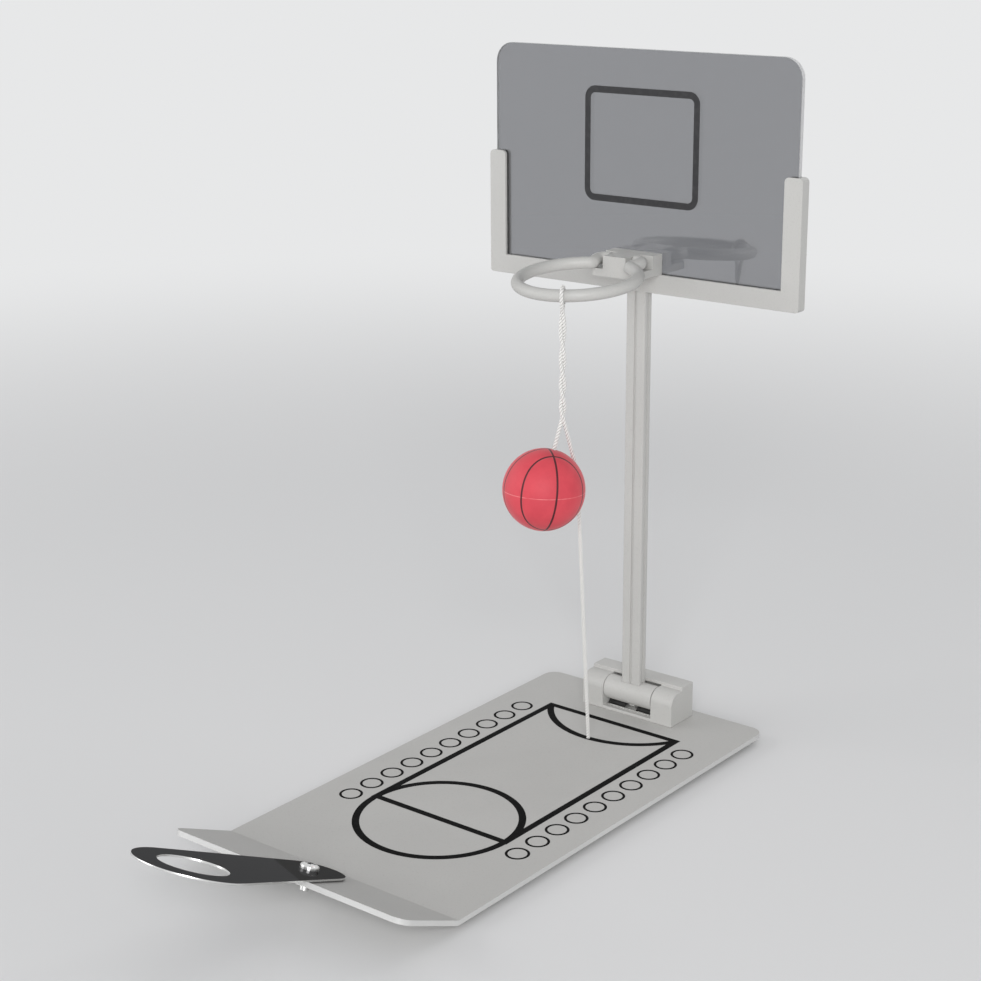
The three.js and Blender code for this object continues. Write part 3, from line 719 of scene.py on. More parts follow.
def cord_recipe() -> Recipe:
    """Makes the tree of a laid cord: a lobed section that turns as it runs along a line.

    Returns:
        The recipe.
    """
    recipe = Recipe("laid_cord", {
        "Cord radius": "NodeSocketFloat", "Ply depth": "NodeSocketFloat", "Plies": "NodeSocketInt",
        "Lay": "NodeSocketFloat", "Sides": "NodeSocketInt",
    })
    give = recipe.inputs
    line = recipe.add("GeometryNodeMeshToCurve", Mesh=give["Geometry"])
    run = recipe.add("GeometryNodeSplineParameter").outputs["Length"]
    turn = recipe.math("MULTIPLY", recipe.math("DIVIDE", run, give["Lay"]), FULL)
    laid = recipe.add("GeometryNodeSetCurveTilt", Curve=line.outputs[0], Tilt=turn)
    rail = recipe.store(laid.outputs[0], "run", run)

    circle = recipe.add("GeometryNodeCurvePrimitiveCircle", Resolution=give["Sides"],
                        Radius=give["Cord radius"])
    round_it = recipe.add("GeometryNodeSplineParameter").outputs["Factor"]
    phase = recipe.math("MULTIPLY", recipe.math("MULTIPLY", round_it, give["Plies"]), math.pi)
    crest = recipe.math("ABSOLUTE", recipe.math("COSINE", phase))
    groove = recipe.math("SUBTRACT", 1.0, recipe.math("POWER", crest, PLY_ROUNDNESS))
    reach = recipe.math("SUBTRACT", 1.0, recipe.math("MULTIPLY", groove, give["Ply depth"]))
    position = recipe.add("GeometryNodeInputPosition").outputs[0]
    scaled = recipe.operate("ShaderNodeVectorMath", "SCALE", [position])
    recipe.feed(reach, scaled.inputs["Scale"])
    parts = recipe.add("ShaderNodeSeparateXYZ", Vector=position)
    section = recipe.store(circle.outputs[0], "groove", groove)
    section = recipe.store(section, "across", parts.outputs[0])
    section = recipe.store(section, "around", parts.outputs[1])
    lobed = recipe.add("GeometryNodeSetPosition", Geometry=section, Position=scaled.outputs[0])
    tube = recipe.add("GeometryNodeCurveToMesh", Curve=rail, Profile_Curve=lobed.outputs[0],
                      Fill_Caps=True)
    return recipe.finish(tube.outputs[0])


def circles_recipe() -> Recipe:
    """Makes the tree of a row of printed circles.

    Returns:
        The recipe.
    """
    recipe = Recipe("score_circles", {
        "Count": "NodeSocketInt", "Start": "NodeSocketVector", "Step": "NodeSocketVector",
        "Ring radius": "NodeSocketFloat", "Line width": "NodeSocketFloat",
        "Ink depth": "NodeSocketFloat",
    })
    give = recipe.inputs
    row = recipe.add("GeometryNodeMeshLine", Count=give["Count"], Start_Location=give["Start"],
                     Offset=give["Step"])
    row.mode = "OFFSET"
    circle = recipe.add("GeometryNodeCurvePrimitiveCircle", Resolution=CIRCLE_SIDES,
                        Radius=give["Ring radius"])
    level = recipe.add("GeometryNodeSetCurveNormal", Curve=circle.outputs[0])
    level.mode = "Z_UP"
    band = recipe.add("GeometryNodeCurvePrimitiveQuadrilateral", Width=give["Line width"],
                      Height=give["Ink depth"])
    printed = recipe.add("GeometryNodeCurveToMesh", Curve=level.outputs[0],
                         Profile_Curve=band.outputs[0])
    copies = recipe.add("GeometryNodeInstanceOnPoints", Points=row.outputs[0],
                        Instance=printed.outputs[0])
    return recipe.finish(copies.outputs[0])


# Finishes


@dataclass(frozen=True)
class Grain:
    """A noise pattern: its size in millimetres, octaves and the part of its range that shows."""

    size: float
    octaves: float
    low: float
    high: float


class NodeGraph(Nodes):
    """Builds a material's nodes round one Principled shader."""

    def __init__(self, name: str) -> None:
        """Starts the material.

        Args:
            name: Name of the material.
        """
        self.material = bpy.data.materials.new(name)
        self.material.use_nodes = True
        super().__init__(self.material.node_tree)
        self.shader = self.tree.nodes["Principled BSDF"]
        self.coordinates = self.add("ShaderNodeTexCoord").outputs["Object"]

    def set(self, **values: object) -> NodeGraph:
        """Sets the shader's sockets.

        Args:
            values: Socket names, with underscores for spaces, and their values or sockets.

        Returns:
            The graph.
        """
        for name, value in values.items():
            self.feed(value, self.shader.inputs[name.replace("_", " ")])
        return self

    def noise(self, size: float, octaves: float = CRISP, stretch: Point = (1, 1, 1),
              roughness: float = 0.55,
              source: bpy.types.NodeSocket | None = None) -> bpy.types.NodeSocket:
        """Adds a noise texture.

        Args:
            size: Size of its grain in millimetres.
            octaves: Octaves.
            stretch: Factors on the three axes.
            roughness: Weight of the finer octaves.
            source: Coordinates in metres, or None for those of the object.

        Returns:
            Its value, from 0 to 1.
        """
        mapping = self.add("ShaderNodeMapping", Scale=stretch, Vector=source or self.coordinates)
        node = self.add("ShaderNodeTexNoise", Vector=mapping.outputs["Vector"],
                        Scale=1 / (size * MM), Detail=octaves, Roughness=roughness)
        return node.outputs["Fac"]

    def ramp(self, value: bpy.types.NodeSocket, low: float, high: float, out_low: float = 0.0,
             out_high: float = 1.0) -> bpy.types.NodeSocket:
        """Maps a value smoothly to a range.

        Args:
            value: Socket to map.
            low: Value that gives out_low.
            high: Value that gives out_high.
            out_low: First result.
            out_high: Last result.

        Returns:
            The clamped result.
        """
        node = self.add("ShaderNodeMapRange", Value=value, From_Min=low, From_Max=high,
                        To_Min=out_low, To_Max=out_high)
        node.interpolation_type = "SMOOTHSTEP"
        return node.outputs["Result"]

    def grain(self, grain: Grain, out_low: float = 0.0,
              out_high: float = 1.0) -> bpy.types.NodeSocket:
        """Draws a grain between two values."""
        value = self.noise(grain.size, grain.octaves)
        return self.ramp(value, grain.low, grain.high, out_low, out_high)

    def mix(self, share: bpy.types.NodeSocket, a: object, b: object) -> bpy.types.NodeSocket:
        """Mixes two colours.

        Args:
            share: Share of the second.
            a: First colour or socket.
            b: Second colour or socket.

        Returns:
            The mixed colour.
        """
        node = self.add("ShaderNodeMix")
        node.data_type = "RGBA"
        for value, socket in ((share, node.inputs[0]), (a, node.inputs[6]), (b, node.inputs[7])):
            self.feed(value, socket)
        return node.outputs[2]

    def bump(self, height: bpy.types.NodeSocket, distance: float, strength: float) -> None:
        """Bends the shader's normals.

        Args:
            height: Socket of the height, from 0 to 1.
            distance: Height in millimetres.
            strength: Strength of the effect.
        """
        node = self.add("ShaderNodeBump", Distance=distance * MM, Strength=strength, Height=height)
        self.set(Normal=node.outputs["Normal"])

    def attribute(self, name: str) -> bpy.types.NodeSocket:
        """Reads a number that the piece carries.

        Args:
            name: Name of the number.

        Returns:
            The number.
        """
        node = self.add("ShaderNodeAttribute")
        node.attribute_name = name
        return node.outputs["Fac"]


class Finish(Protocol):
    """Anything that makes a material."""

    def build(self) -> bpy.types.Material:
        """Makes the material."""


@dataclass(frozen=True)
class StovedPaint:
    """Stoved paint: a little cloudy, finely flecked, with an orange-peel skin."""

    name: str
    colour: Colour
    shade: Colour
    roughness: float
    peel: float
    relief: float
    fleck: float = 0.45
    fleck_shade: float = 0.84
    roughness_spread: float = 0.012
    fine_size: float = 0.3
    fine_height: float = 0.35
    peel_strength: float = 0.6
    shine: float = 0.4
    clouds: Grain = Grain(34, SOFT, 0.35, 0.65)
    flecks: Grain = Grain(0.5, SOFT, 0.56, 0.72)
    patches: Grain = Grain(6, CRISP, 0.3, 0.7)

    def build(self) -> bpy.types.Material:
        """Makes the material.

        Returns:
            The material.
        """
        graph = NodeGraph(self.name)
        dark = tuple(self.fleck_shade * part for part in self.shade)
        fleck = graph.math("MULTIPLY", graph.grain(self.flecks), self.fleck)
        cloudy = graph.mix(graph.grain(self.clouds), self.colour, self.shade)
        dull = graph.grain(self.patches, self.roughness - self.roughness_spread,
                           self.roughness + self.roughness_spread)
        fine = graph.math("MULTIPLY", graph.noise(self.peel * self.fine_size), self.fine_height)
        skin = graph.math("ADD", graph.noise(self.peel, SOFT), fine)
        graph.bump(skin, self.relief, self.peel_strength)
        return graph.set(Base_Color=graph.mix(fleck, cloudy, dark), Roughness=dull,
                         Specular_IOR_Level=self.shine).material


@dataclass(frozen=True)
class SteelFinish:
    """Bare or plated steel, with brush marks and smears."""

    name: str
    colour: Colour
    roughness: float
    brush: float
    relief: float
    # Below 1 this darkens the reflection at grazing angles, a painted dark reflection.
    grazing: float = 1.0
    clean_share: float = 0.75
    smeared_share: float = 1.35
    strokes: Point = (1.0, 0.08, 0.3)
    brush_strength: float = 0.35
    smears: Grain = Grain(9, SOFT, 0.3, 0.7)

    def build(self) -> bpy.types.Material:
        """Makes the material.

        Returns:
            The material.
        """
        graph = NodeGraph(self.name)
        smear = graph.grain(self.smears, self.roughness * self.clean_share,
                            self.roughness * self.smeared_share)
        graph.bump(graph.noise(self.brush, stretch=self.strokes), self.relief, self.brush_strength)
        return graph.set(Base_Color=self.colour, Metallic=1.0, Roughness=smear,
                         Specular_Tint=(self.grazing,) * 3).material


@dataclass(frozen=True)
class Acrylic:
    """Clear acrylic sheet with a grey tint and a polished skin, or its sawn edge."""

    name: str
    colour: Colour
    clear: float
    smooth: float
    dull: float
    polish: float = 0.0
    index: float = 1.49
    skin_index: float = 1.9
    haze: Grain = Grain(22, CRISP, 0.3, 0.75)

    def build(self) -> bpy.types.Material:
        """Makes the material.

        Returns:
            The material.
        """
        graph = NodeGraph(self.name)
        haze = graph.grain(self.haze, self.smooth, self.dull)
        return graph.set(Base_Color=self.colour, Transmission_Weight=self.clear, IOR=self.index,
                         Roughness=haze, Coat_Weight=self.polish, Coat_IOR=self.skin_index,
                         Coat_Roughness=self.smooth).material


@dataclass(frozen=True)
class BallRubber:
    """Soft rubber with sunk seams and the mould's parting line, placed from the ball's middle."""

    name: str = "ball_rubber"
    centre: Point = (4.6, -76.1, 102.8)
    seam_pole: Point = (0.816, -0.575, 0.067)
    seam_side: Point = (0.578, 0.805, -0.131)
    seam_along: Point = (-0.022, -0.146, -0.989)
    parting: Point = (-0.005, 0.063, 0.998)
    loop_mean: float = math.radians(56.7)
    loop_swing: float = math.radians(6.8)
    seam_half: float = 0.026
    seam_core_share: float = 0.7
    seam_edge_share: float = 1.15
    least_width: float = 0.001
    parting_half: float = 0.014
    skin: Colour = (0.700, 0.066, 0.090)
    skin_shade: Colour = (0.635, 0.054, 0.078)
    flash: Colour = (0.86, 0.26, 0.27)
    seam: Colour = (0.070, 0.004, 0.009)
    mottle: Grain = Grain(7, CRISP, 0.3, 0.7)
    breaks: Grain = Grain(5, SOFT, 0.35, 0.6)
    pebble: float = 0.55
    pebble_height: float = 0.22
    flash_height: float = 0.35
    relief: float = 0.16
    strength: float = 0.8
    roughness: float = 0.62
    sheen: float = 0.25
    sheen_roughness: float = 0.4
    sheen_tint: Colour = (1.0, 0.72, 0.72)

    def build(self) -> bpy.types.Material:
        """Makes the material.

        Returns:
            The material.
        """
        graph = NodeGraph(self.name)
        from_centre = graph.vector("SUBTRACT", graph.coordinates, tuple(place(*self.centre)))
        outward = graph.vector("NORMALIZE", from_centre)
        seam = self.seams(graph, outward)
        parting = self.away(graph, outward, self.parting)
        line = graph.ramp(parting, 0.0, self.parting_half, 1.0, 0.0)
        flash = graph.math("MULTIPLY", line, graph.grain(self.breaks))
        skin = graph.mix(graph.grain(self.mottle), self.skin, self.skin_shade)
        colour = graph.mix(seam, graph.mix(flash, skin, self.flash), self.seam)
        pebble = graph.math("MULTIPLY", graph.noise(self.pebble), self.pebble_height)
        raised = graph.math("ADD", pebble, graph.math("MULTIPLY", flash, self.flash_height))
        graph.bump(graph.math("SUBTRACT", raised, seam), self.relief, self.strength)
        return graph.set(Base_Color=colour, Roughness=self.roughness, Sheen_Weight=self.sheen,
                         Sheen_Roughness=self.sheen_roughness, Sheen_Tint=self.sheen_tint).material

    def away(self, graph: NodeGraph, outward: bpy.types.NodeSocket,
             pole: Point) -> bpy.types.NodeSocket:
        """Gives the distance from the great circle round a pole, for a ball of radius 1."""
        return graph.math("ABSOLUTE", graph.measure("DOT_PRODUCT", outward, pole))

    def seams(self, graph: NodeGraph, outward: bpy.types.NodeSocket) -> bpy.types.NodeSocket:
        """Draws two great circles and two waved loops.

        Args:
            graph: The material's nodes.
            outward: Direction from the ball's middle.

        Returns:
            1 on a seam, otherwise 0.
        """
        pole = self.away(graph, outward, self.seam_pole)
        side = self.away(graph, outward, self.seam_side)
        along = graph.measure("DOT_PRODUCT", outward, self.seam_along)
        flat = graph.math("SUBTRACT", 1.0, graph.math("MULTIPLY", pole, pole))
        turn = graph.math("DIVIDE", graph.math("MULTIPLY", along, along),
                          graph.math("MAXIMUM", flat, self.least_width))
        wave = graph.math("MULTIPLY_ADD", turn, 2 * self.loop_swing,
                          self.loop_mean - self.loop_swing)
        from_loop = graph.math("SUBTRACT", graph.math("ARCCOSINE", pole), wave)
        nearest = graph.math("MINIMUM", graph.math("MINIMUM", pole, side),
                             graph.math("ABSOLUTE", from_loop))
        return graph.ramp(nearest, self.seam_half * self.seam_core_share,
                          self.seam_half * self.seam_edge_share, 1.0, 0.0)


@dataclass(frozen=True)
class Cotton:
    """White cotton with fibres along it; painted shade darkens the grooves between its plies."""

    name: str = "white_cotton"
    lit: Colour = (0.90, 0.895, 0.875)
    soiled: Colour = (0.80, 0.79, 0.765)
    # Colour of the painted shade in the grooves between the plies.
    groove: Colour = (0.40, 0.39, 0.37)
    groove_shade_share: float = 0.8
    fibre: Grain = Grain(0.11, CRISP, 0.35, 0.75)
    fibre_stretch: Point = (1, 1, 0.16)
    fibre_roughness: float = 0.7
    relief: float = 0.05
    strength: float = 0.8
    roughness: float = 0.95
    sheen: float = 0.3
    sheen_roughness: float = 0.6

    def build(self) -> bpy.types.Material:
        """Makes the material.

        Returns:
            The material.
        """
        graph = NodeGraph(self.name)
        join = graph.add("ShaderNodeCombineXYZ")
        for socket, name in zip(join.inputs, ("across", "around", "run")):
            graph.feed(graph.attribute(name), socket)
        fibres = graph.noise(self.fibre.size, self.fibre.octaves, self.fibre_stretch,
                             self.fibre_roughness, join.outputs[0])
        yarn = graph.mix(graph.ramp(fibres, self.fibre.low, self.fibre.high), self.lit, self.soiled)
        # Painted shade: the grooves between the plies are darkened towards the groove colour.
        sunk = graph.math("MULTIPLY", graph.attribute("groove"), self.groove_shade_share)
        graph.bump(fibres, self.relief, self.strength)
        return graph.set(Base_Color=graph.mix(sunk, yarn, self.groove), Roughness=self.roughness,
                         Sheen_Weight=self.sheen, Sheen_Roughness=self.sheen_roughness).material


@dataclass(frozen=True)
class MattSkin:
    """A matt skin in two shades with a fine relief, such as rubber or printing ink."""

    name: str
    colour: Colour
    light: Colour
    roughness: float
    shine: float
    shades: Grain
    tooth: float
    relief: float
    strength: float

    def build(self) -> bpy.types.Material:
        """Makes the material.

        Returns:
            The material.
        """
        graph = NodeGraph(self.name)
        graph.bump(graph.noise(self.tooth), self.relief, self.strength)
        return graph.set(Base_Color=graph.mix(graph.grain(self.shades), self.colour, self.light),
                         Roughness=self.roughness, Specular_IOR_Level=self.shine).material


@dataclass(frozen=True)
class PadRubber(MattSkin):
    """Black rubber of the pads, a little dusty."""

    name: str = "pad_rubber"
    colour: Colour = (0.018, 0.018, 0.019)
    light: Colour = (0.032, 0.031, 0.030)
    roughness: float = 0.82
    shine: float = 0.5
    shades: Grain = Grain(3, CRISP, 0.3, 0.7)
    tooth: float = 0.3
    relief: float = 0.05
    strength: float = 0.7


@dataclass(frozen=True)
class PrintInk(MattSkin):
    """Screen-printing ink, a little uneven."""

    shades: Grain = Grain(1.8, 4, 0.42, 0.75)
    tooth: float = 0.25
    relief: float = 0.01
    strength: float = 0.5


@dataclass(frozen=True)
class StudioFloor:
    """Matt floor near the game, which passes into the pale background further out."""

    name: str = "pale_floor"
    colour: Colour = (0.80, 0.80, 0.80)
    far_colour: Colour = (0.80, 0.805, 0.81)
    near: float = 0.35
    far: float = 1.1
    roughness: float = 0.7
    shine: float = 0.25

    def build(self) -> bpy.types.Material:
        """Makes the material.

        Returns:
            The material.
        """
        graph = NodeGraph(self.name)
        graph.set(Base_Color=self.colour, Roughness=self.roughness, Specular_IOR_Level=self.shine)
        distance = graph.measure("LENGTH", graph.coordinates)
        away = graph.math("MULTIPLY", graph.ramp(distance, self.near, self.far), graph.seen())
        glow = graph.add("ShaderNodeEmission", Color=self.far_colour)
        seen = graph.mix_shaders(away, graph.shader.outputs[0], glow.outputs[0])
        graph.feed(seen, graph.tree.nodes["Material Output"].inputs["Surface"])
        return graph.material


class Look(Enum):
    """Finishes of the scene."""

    SHEET = StovedPaint("painted_sheet", (0.520, 0.515, 0.497), (0.503, 0.498, 0.481), 0.54, 1.3,
                        0.018)
    BAR = StovedPaint("painted_bar", (0.530, 0.526, 0.508), (0.510, 0.506, 0.490), 0.40, 1.1, 0.014)
    CAST = StovedPaint("painted_cast", (0.545, 0.541, 0.522), (0.522, 0.518, 0.500), 0.44, 0.8,
                       0.03)
    # Lighter paint for the base plate's side faces: a painted highlight along its cut edges.
    CUT = StovedPaint("edge_highlight_paint", (0.64, 0.64, 0.63), (0.60, 0.60, 0.59), 0.36, 0.5, 0.01, 0.2)
    CLEAR = Acrylic("clear_acrylic", (0.240, 0.245, 0.262), 1.0, 0.012, 0.035, 1.0)
    SAWN = Acrylic("sawn_acrylic", (0.93, 0.935, 0.94), 0.4, 0.40, 0.55)
    # Polished steel darkened below its own colour, with a dark grazing tint: a painted dark
    # reflection.
    MIRROR = SteelFinish("mirror_steel_dark_reflection", (0.44, 0.44, 0.45), 0.035, 0.5, 0.0012, 0.16)
    PLATED = SteelFinish("plated_steel", (0.74, 0.74, 0.73), 0.22, 0.4, 0.01)
    # Dark steel of the friction leaf, also lining the cross recesses as painted shade.
    SPRING_AND_RECESS_SHADE = SteelFinish("spring_steel_and_recess_shade", (0.13, 0.13, 0.13), 0.30, 0.3, 0.008)
    PAD = PadRubber()
    BALL = BallRubber()
    COTTON = Cotton()
    COURT_INK = PrintInk("court_ink", (0.005,) * 3, (0.011,) * 3, 0.75, 0.05)
    BOARD_INK = PrintInk("board_ink", (0.036, 0.036, 0.038), (0.048, 0.048, 0.050), 0.55, 0.2)
    FLOOR = StudioFloor()


# Pieces


@dataclass
class Workshop:
    frame: dict
    made: dict[Look, bpy.types.Material] = field(default_factory=dict)

    def material(self, look: Look) -> bpy.types.Material:
        """Gives a finish's material, made the first time that it is asked for.

        Args:
            look: The finish.

        Returns:
            Its material.
        """
        if look not in self.made:
            finish: Finish = look.value
            self.made[look] = finish.build()
        return self.made[look]

    def dress(self, piece: bpy.types.Object, *looks: Look) -> None:
        """Gives a piece its finishes, in the order of its material slots."""
        for look in looks:
            piece.data.materials.append(self.material(look))

    def finish(self, piece: bpy.types.Object, body: Body, slot: Slot,
               *nodes: str) -> bpy.types.Object:
        """Gives a piece its body and hides the CAD nodes that it stands for.

        Args:
            piece: Piece in place.
            body: Body that it moves with.
            slot: Not used.
            nodes: CAD nodes that it replaces.

        Returns:
            The same piece.
        """
        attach(piece, body.value)
        if nodes:
            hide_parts(*nodes)
        return piece

    def copy_node(self, node: str, *looks: Look) -> bpy.types.Object:
        """Makes a merged copy of a CAD node.

        Args:
            node: CAD node.
            looks: Its finishes.

        Returns:
            The copy.
        """
        mesh = self.frame["nodes"][node].data.copy()
        mesh.materials.clear()
        clean = bmesh.new()
        clean.from_mesh(mesh)
        bmesh.ops.remove_doubles(clean, verts=clean.verts, dist=MERGE_WITHIN * MM)
        bmesh.ops.dissolve_limit(clean, angle_limit=FLAT_WITHIN, verts=clean.verts,
                                 edges=clean.edges)
        for face in clean.faces:
            face.material_index = 0
        clean.to_mesh(mesh)
        clean.free()
        piece = add_object(f"{node}_finished", mesh)
        self.dress(piece, *looks)
        return piece


@dataclass(frozen=True)
class CadPiece:
    """A piece that keeps its CAD shape, with rounded edges."""

    node: str
    body: Body
    slot: Slot
    look: Look
    edge: Edge
    segments: int = 3
    side_look: Look | None = None
    level: float = 0.7

    def build(self, shop: Workshop) -> list[bpy.types.Object]:
        """Makes the piece.

        Args:
            shop: Frame and finishes.

        Returns:
            The piece.
        """
        piece = shop.copy_node(self.node, self.look, self.side_look or self.look)
        for face in piece.data.polygons:
            steep = abs(face.normal.z) < self.level
            face.material_index = 1 if self.side_look and steep else 0
        if self.edge is not Edge.STAMPED:
            round_edges(piece, self.edge.value, self.segments)
        settle_normals(piece)
        return [shop.finish(piece, self.body, self.slot, self.node)]


@dataclass(frozen=True)
class BasePlate:
    """Painted sheet with a rising flange; its side faces take a lighter paint, a painted highlight
    along the cut edges.
    """

    node: str = "base_plate"
    edge: Edge = Edge.FOLDED
    segments: int = 3
    level: float = 0.75
    holes_half_x: float = 30.0
    holes_low_y: float = -60.0
    holes_high_y: float = -1.0

    def build(self, shop: Workshop) -> list[bpy.types.Object]:
        """Makes the plate.

        Args:
            shop: Frame and finishes.

        Returns:
            The plate.
        """
        plate = shop.copy_node(self.node, Look.SHEET, Look.CUT)
        upward = FLANGE.upward()
        # Steep faces outside the holes take the lighter paint, a painted highlight.
        for face in plate.data.polygons:
            flatness = max(abs(face.normal.z), abs(face.normal.dot(upward)))
            at = (face.center - FRAME_SHIFT) / MM
            in_hole = abs(at.x) < self.holes_half_x and self.holes_low_y < at.y < self.holes_high_y
            if flatness < self.level and not in_hole:
                face.material_index = 1
        round_edges(plate, self.edge.value, self.segments)
        settle_normals(plate)
        return [shop.finish(plate, Body.BASE, Slot.PAINTED, self.node)]


@dataclass(frozen=True)
class Backboard:
    """Clear sheet with lighter sawn edges."""

    node: str = "backboard"
    edge: Edge = Edge.TURNED
    segments: int = 2
    level: float = 0.5

    def build(self, shop: Workshop) -> list[bpy.types.Object]:
        """Makes the sheet.

        Args:
            shop: Frame and finishes.

        Returns:
            The sheet.
        """
        sheet = shop.copy_node(self.node, Look.CLEAR, Look.SAWN)
        for face in sheet.data.polygons:
            if abs(face.normal.y) < self.level:
                face.material_index = 1
        round_edges(sheet, self.edge.value, self.segments, rim_and_highlight_slot=1)
        settle_normals(sheet)
        return [shop.finish(sheet, Body.MAST, Slot.CLEAR, self.node)]


@dataclass(frozen=True)
class CrossScrew:
    """A CAD screw that gets a cross recess."""

    node: str
    body: Body
    facing: Facing
    spin: float
    head_radius: float = 2.0
    depth: float = 0.9
    cross_share: float = 0.62

    def build(self, shop: Workshop) -> list[bpy.types.Object]:
        """Makes the screw.

        Args:
            shop: Frame and finishes.

        Returns:
            The screw.
        """
        screw = shop.copy_node(self.node, Look.PLATED)
        middle, half = half_box(self.node)
        outward = self.facing.value @ Vector((0, 0, 1))
        reach = sum(abs(a * b) for a, b in zip(half, outward))
        seat = Matrix.Translation(middle + outward * reach) @ self.facing.value
        seat = seat @ Matrix.Rotation(math.radians(self.spin), 4, "Z")
        # The recess is lined with dark steel, painted shade.
        carve_cross(screw, seat, self.head_radius * self.cross_share, self.depth,
                    shop.material(Look.SPRING_AND_RECESS_SHADE))
        settle_normals(screw, SCREW_SHARP_FROM)
        return [shop.finish(screw, self.body, Slot.PLATED, self.node)]


@dataclass(frozen=True)
class CourtPrint:
    """Lines and circles printed on the base."""

    line: float = 2.5
    half_width: float = 28.0
    back_y: float = -27.8
    half_way_y: float = -127.8
    circle_radius: float = 27.8
    circle_steps: int = 120
    arc_radius: float = 31.7
    arc_y: float = -12.9
    arc_steps: int = 60
    ink_height: float = 0.03
    ink_depth: float = 0.04
    lift: float = 0.002
    score_count: int = 10
    score_x: float = 36.0
    score_y: float = -35.8
    score_pitch: float = 10.65
    score_radius: float = 4.1
    score_line: float = 0.9

    def build(self, shop: Workshop) -> list[bpy.types.Object]:
        """Makes the print.

        Args:
            shop: Frame and finishes.

        Returns:
            Its lines.
        """
        inner, outer, half_way = self.half_width, self.half_width + self.line / 2, self.half_way_y
        sides = [(-inner, half_way), (-inner, self.back_y), (inner, self.back_y), (inner, half_way)]
        reach = math.acos(inner / self.arc_radius)
        strokes = (
            ("court_sides", sides, False),
            ("court_half_way", [(-outer, half_way), (outer, half_way)], False),
            ("court_circle", ring(0, half_way, self.circle_radius, self.circle_steps), True),
            ("court_arc",
             arc(0, self.arc_y, self.arc_radius, -math.pi + reach, -reach, self.arc_steps), False),
        )
        lines = [self.stroke(shop, name, [np.array(p) for p in points], closed, layer)
                 for layer, (name, points, closed) in enumerate(strokes)]
        return [*lines, *self.score_circles(shop)]

    def stroke(self, shop: Workshop, name: str, points: Sequence[np.ndarray], closed: bool,
               layer: int) -> bpy.types.Object:
        """Prints one line on the court.

        Args:
            shop: Frame and finishes.
            name: Name of the piece.
            points: Centre line on the drawing.
            closed: Whether it joins up with itself.
            layer: Number of lines that it lies over.

        Returns:
            The line.
        """
        low = -self.ink_depth + layer * self.lift
        rise = Vector((0, 0, (self.ink_height + self.ink_depth) * MM))
        left, right = ([place(*p, low) for p in edge]
                       for edge in offset_line(points, self.line, closed))
        piece = flat_band(name, left, right, rise, closed)
        shop.dress(piece, Look.COURT_INK)
        return shop.finish(piece, Body.BASE, Slot.PAINTED)

    def score_circles(self, shop: Workshop) -> list[bpy.types.Object]:
        """Prints both columns of score circles.

        Args:
            shop: Frame and finishes.

        Returns:
            The two columns.
        """
        recipe = circles_recipe()
        depth = self.ink_height + self.ink_depth
        columns = []
        for name, side in (("score_left", -1), ("score_right", 1)):
            piece = recipe.make(name, bpy.data.meshes.new(name), shop.material(Look.COURT_INK), {
                "Count": self.score_count,
                "Start": place(side * self.score_x, self.score_y, depth / 2 - self.ink_depth),
                "Step": Vector((0, -self.score_pitch, 0)) * MM,
                "Ring radius": (self.score_radius - self.score_line / 2) * MM,
                "Line width": self.score_line * MM,
                "Ink depth": depth * MM,
            })
            columns.append(shop.finish(piece, Body.BASE, Slot.PAINTED))
        return columns


@dataclass(frozen=True)
class TargetSquare:
    """Square printed on the backboard's front face."""

    middle_x: float = 0.3
    half_width: float = 23.7
    low_z: float = 190.4
    high_z: float = 230.3
    line: float = 2.35
    corner: float = 4.2
    corner_steps: int = 8
    face_y: float = -15.1
    ink_height: float = 0.03
    ink_lift: float = 0.005

    def build(self, shop: Workshop) -> list[bpy.types.Object]:
        """Makes the square.

        Args:
            shop: Frame and finishes.

        Returns:
            The square.
        """
        inset = self.line / 2
        corner = self.corner - inset
        side = self.half_width - inset - corner
        low, high = self.low_z + inset + corner, self.high_z - inset - corner
        outline = []
        for quarter, (x, z) in enumerate(((side, low), (side, high), (-side, high), (-side, low))):
            start = (quarter - 1) * QUARTER
            outline += arc(x, z, corner, start, start + QUARTER, self.corner_steps)
        y = self.face_y - self.ink_lift
        edges = [[place(p[0] + self.middle_x, y, p[1]) for p in edge]
                 for edge in offset_line(outline, self.line, True)]
        piece = flat_band("target_square", *edges, Vector((0, -self.ink_height * MM, 0)), True)
        shop.dress(piece, Look.BOARD_INK)
        return [shop.finish(piece, Body.MAST, Slot.PAINTED)]


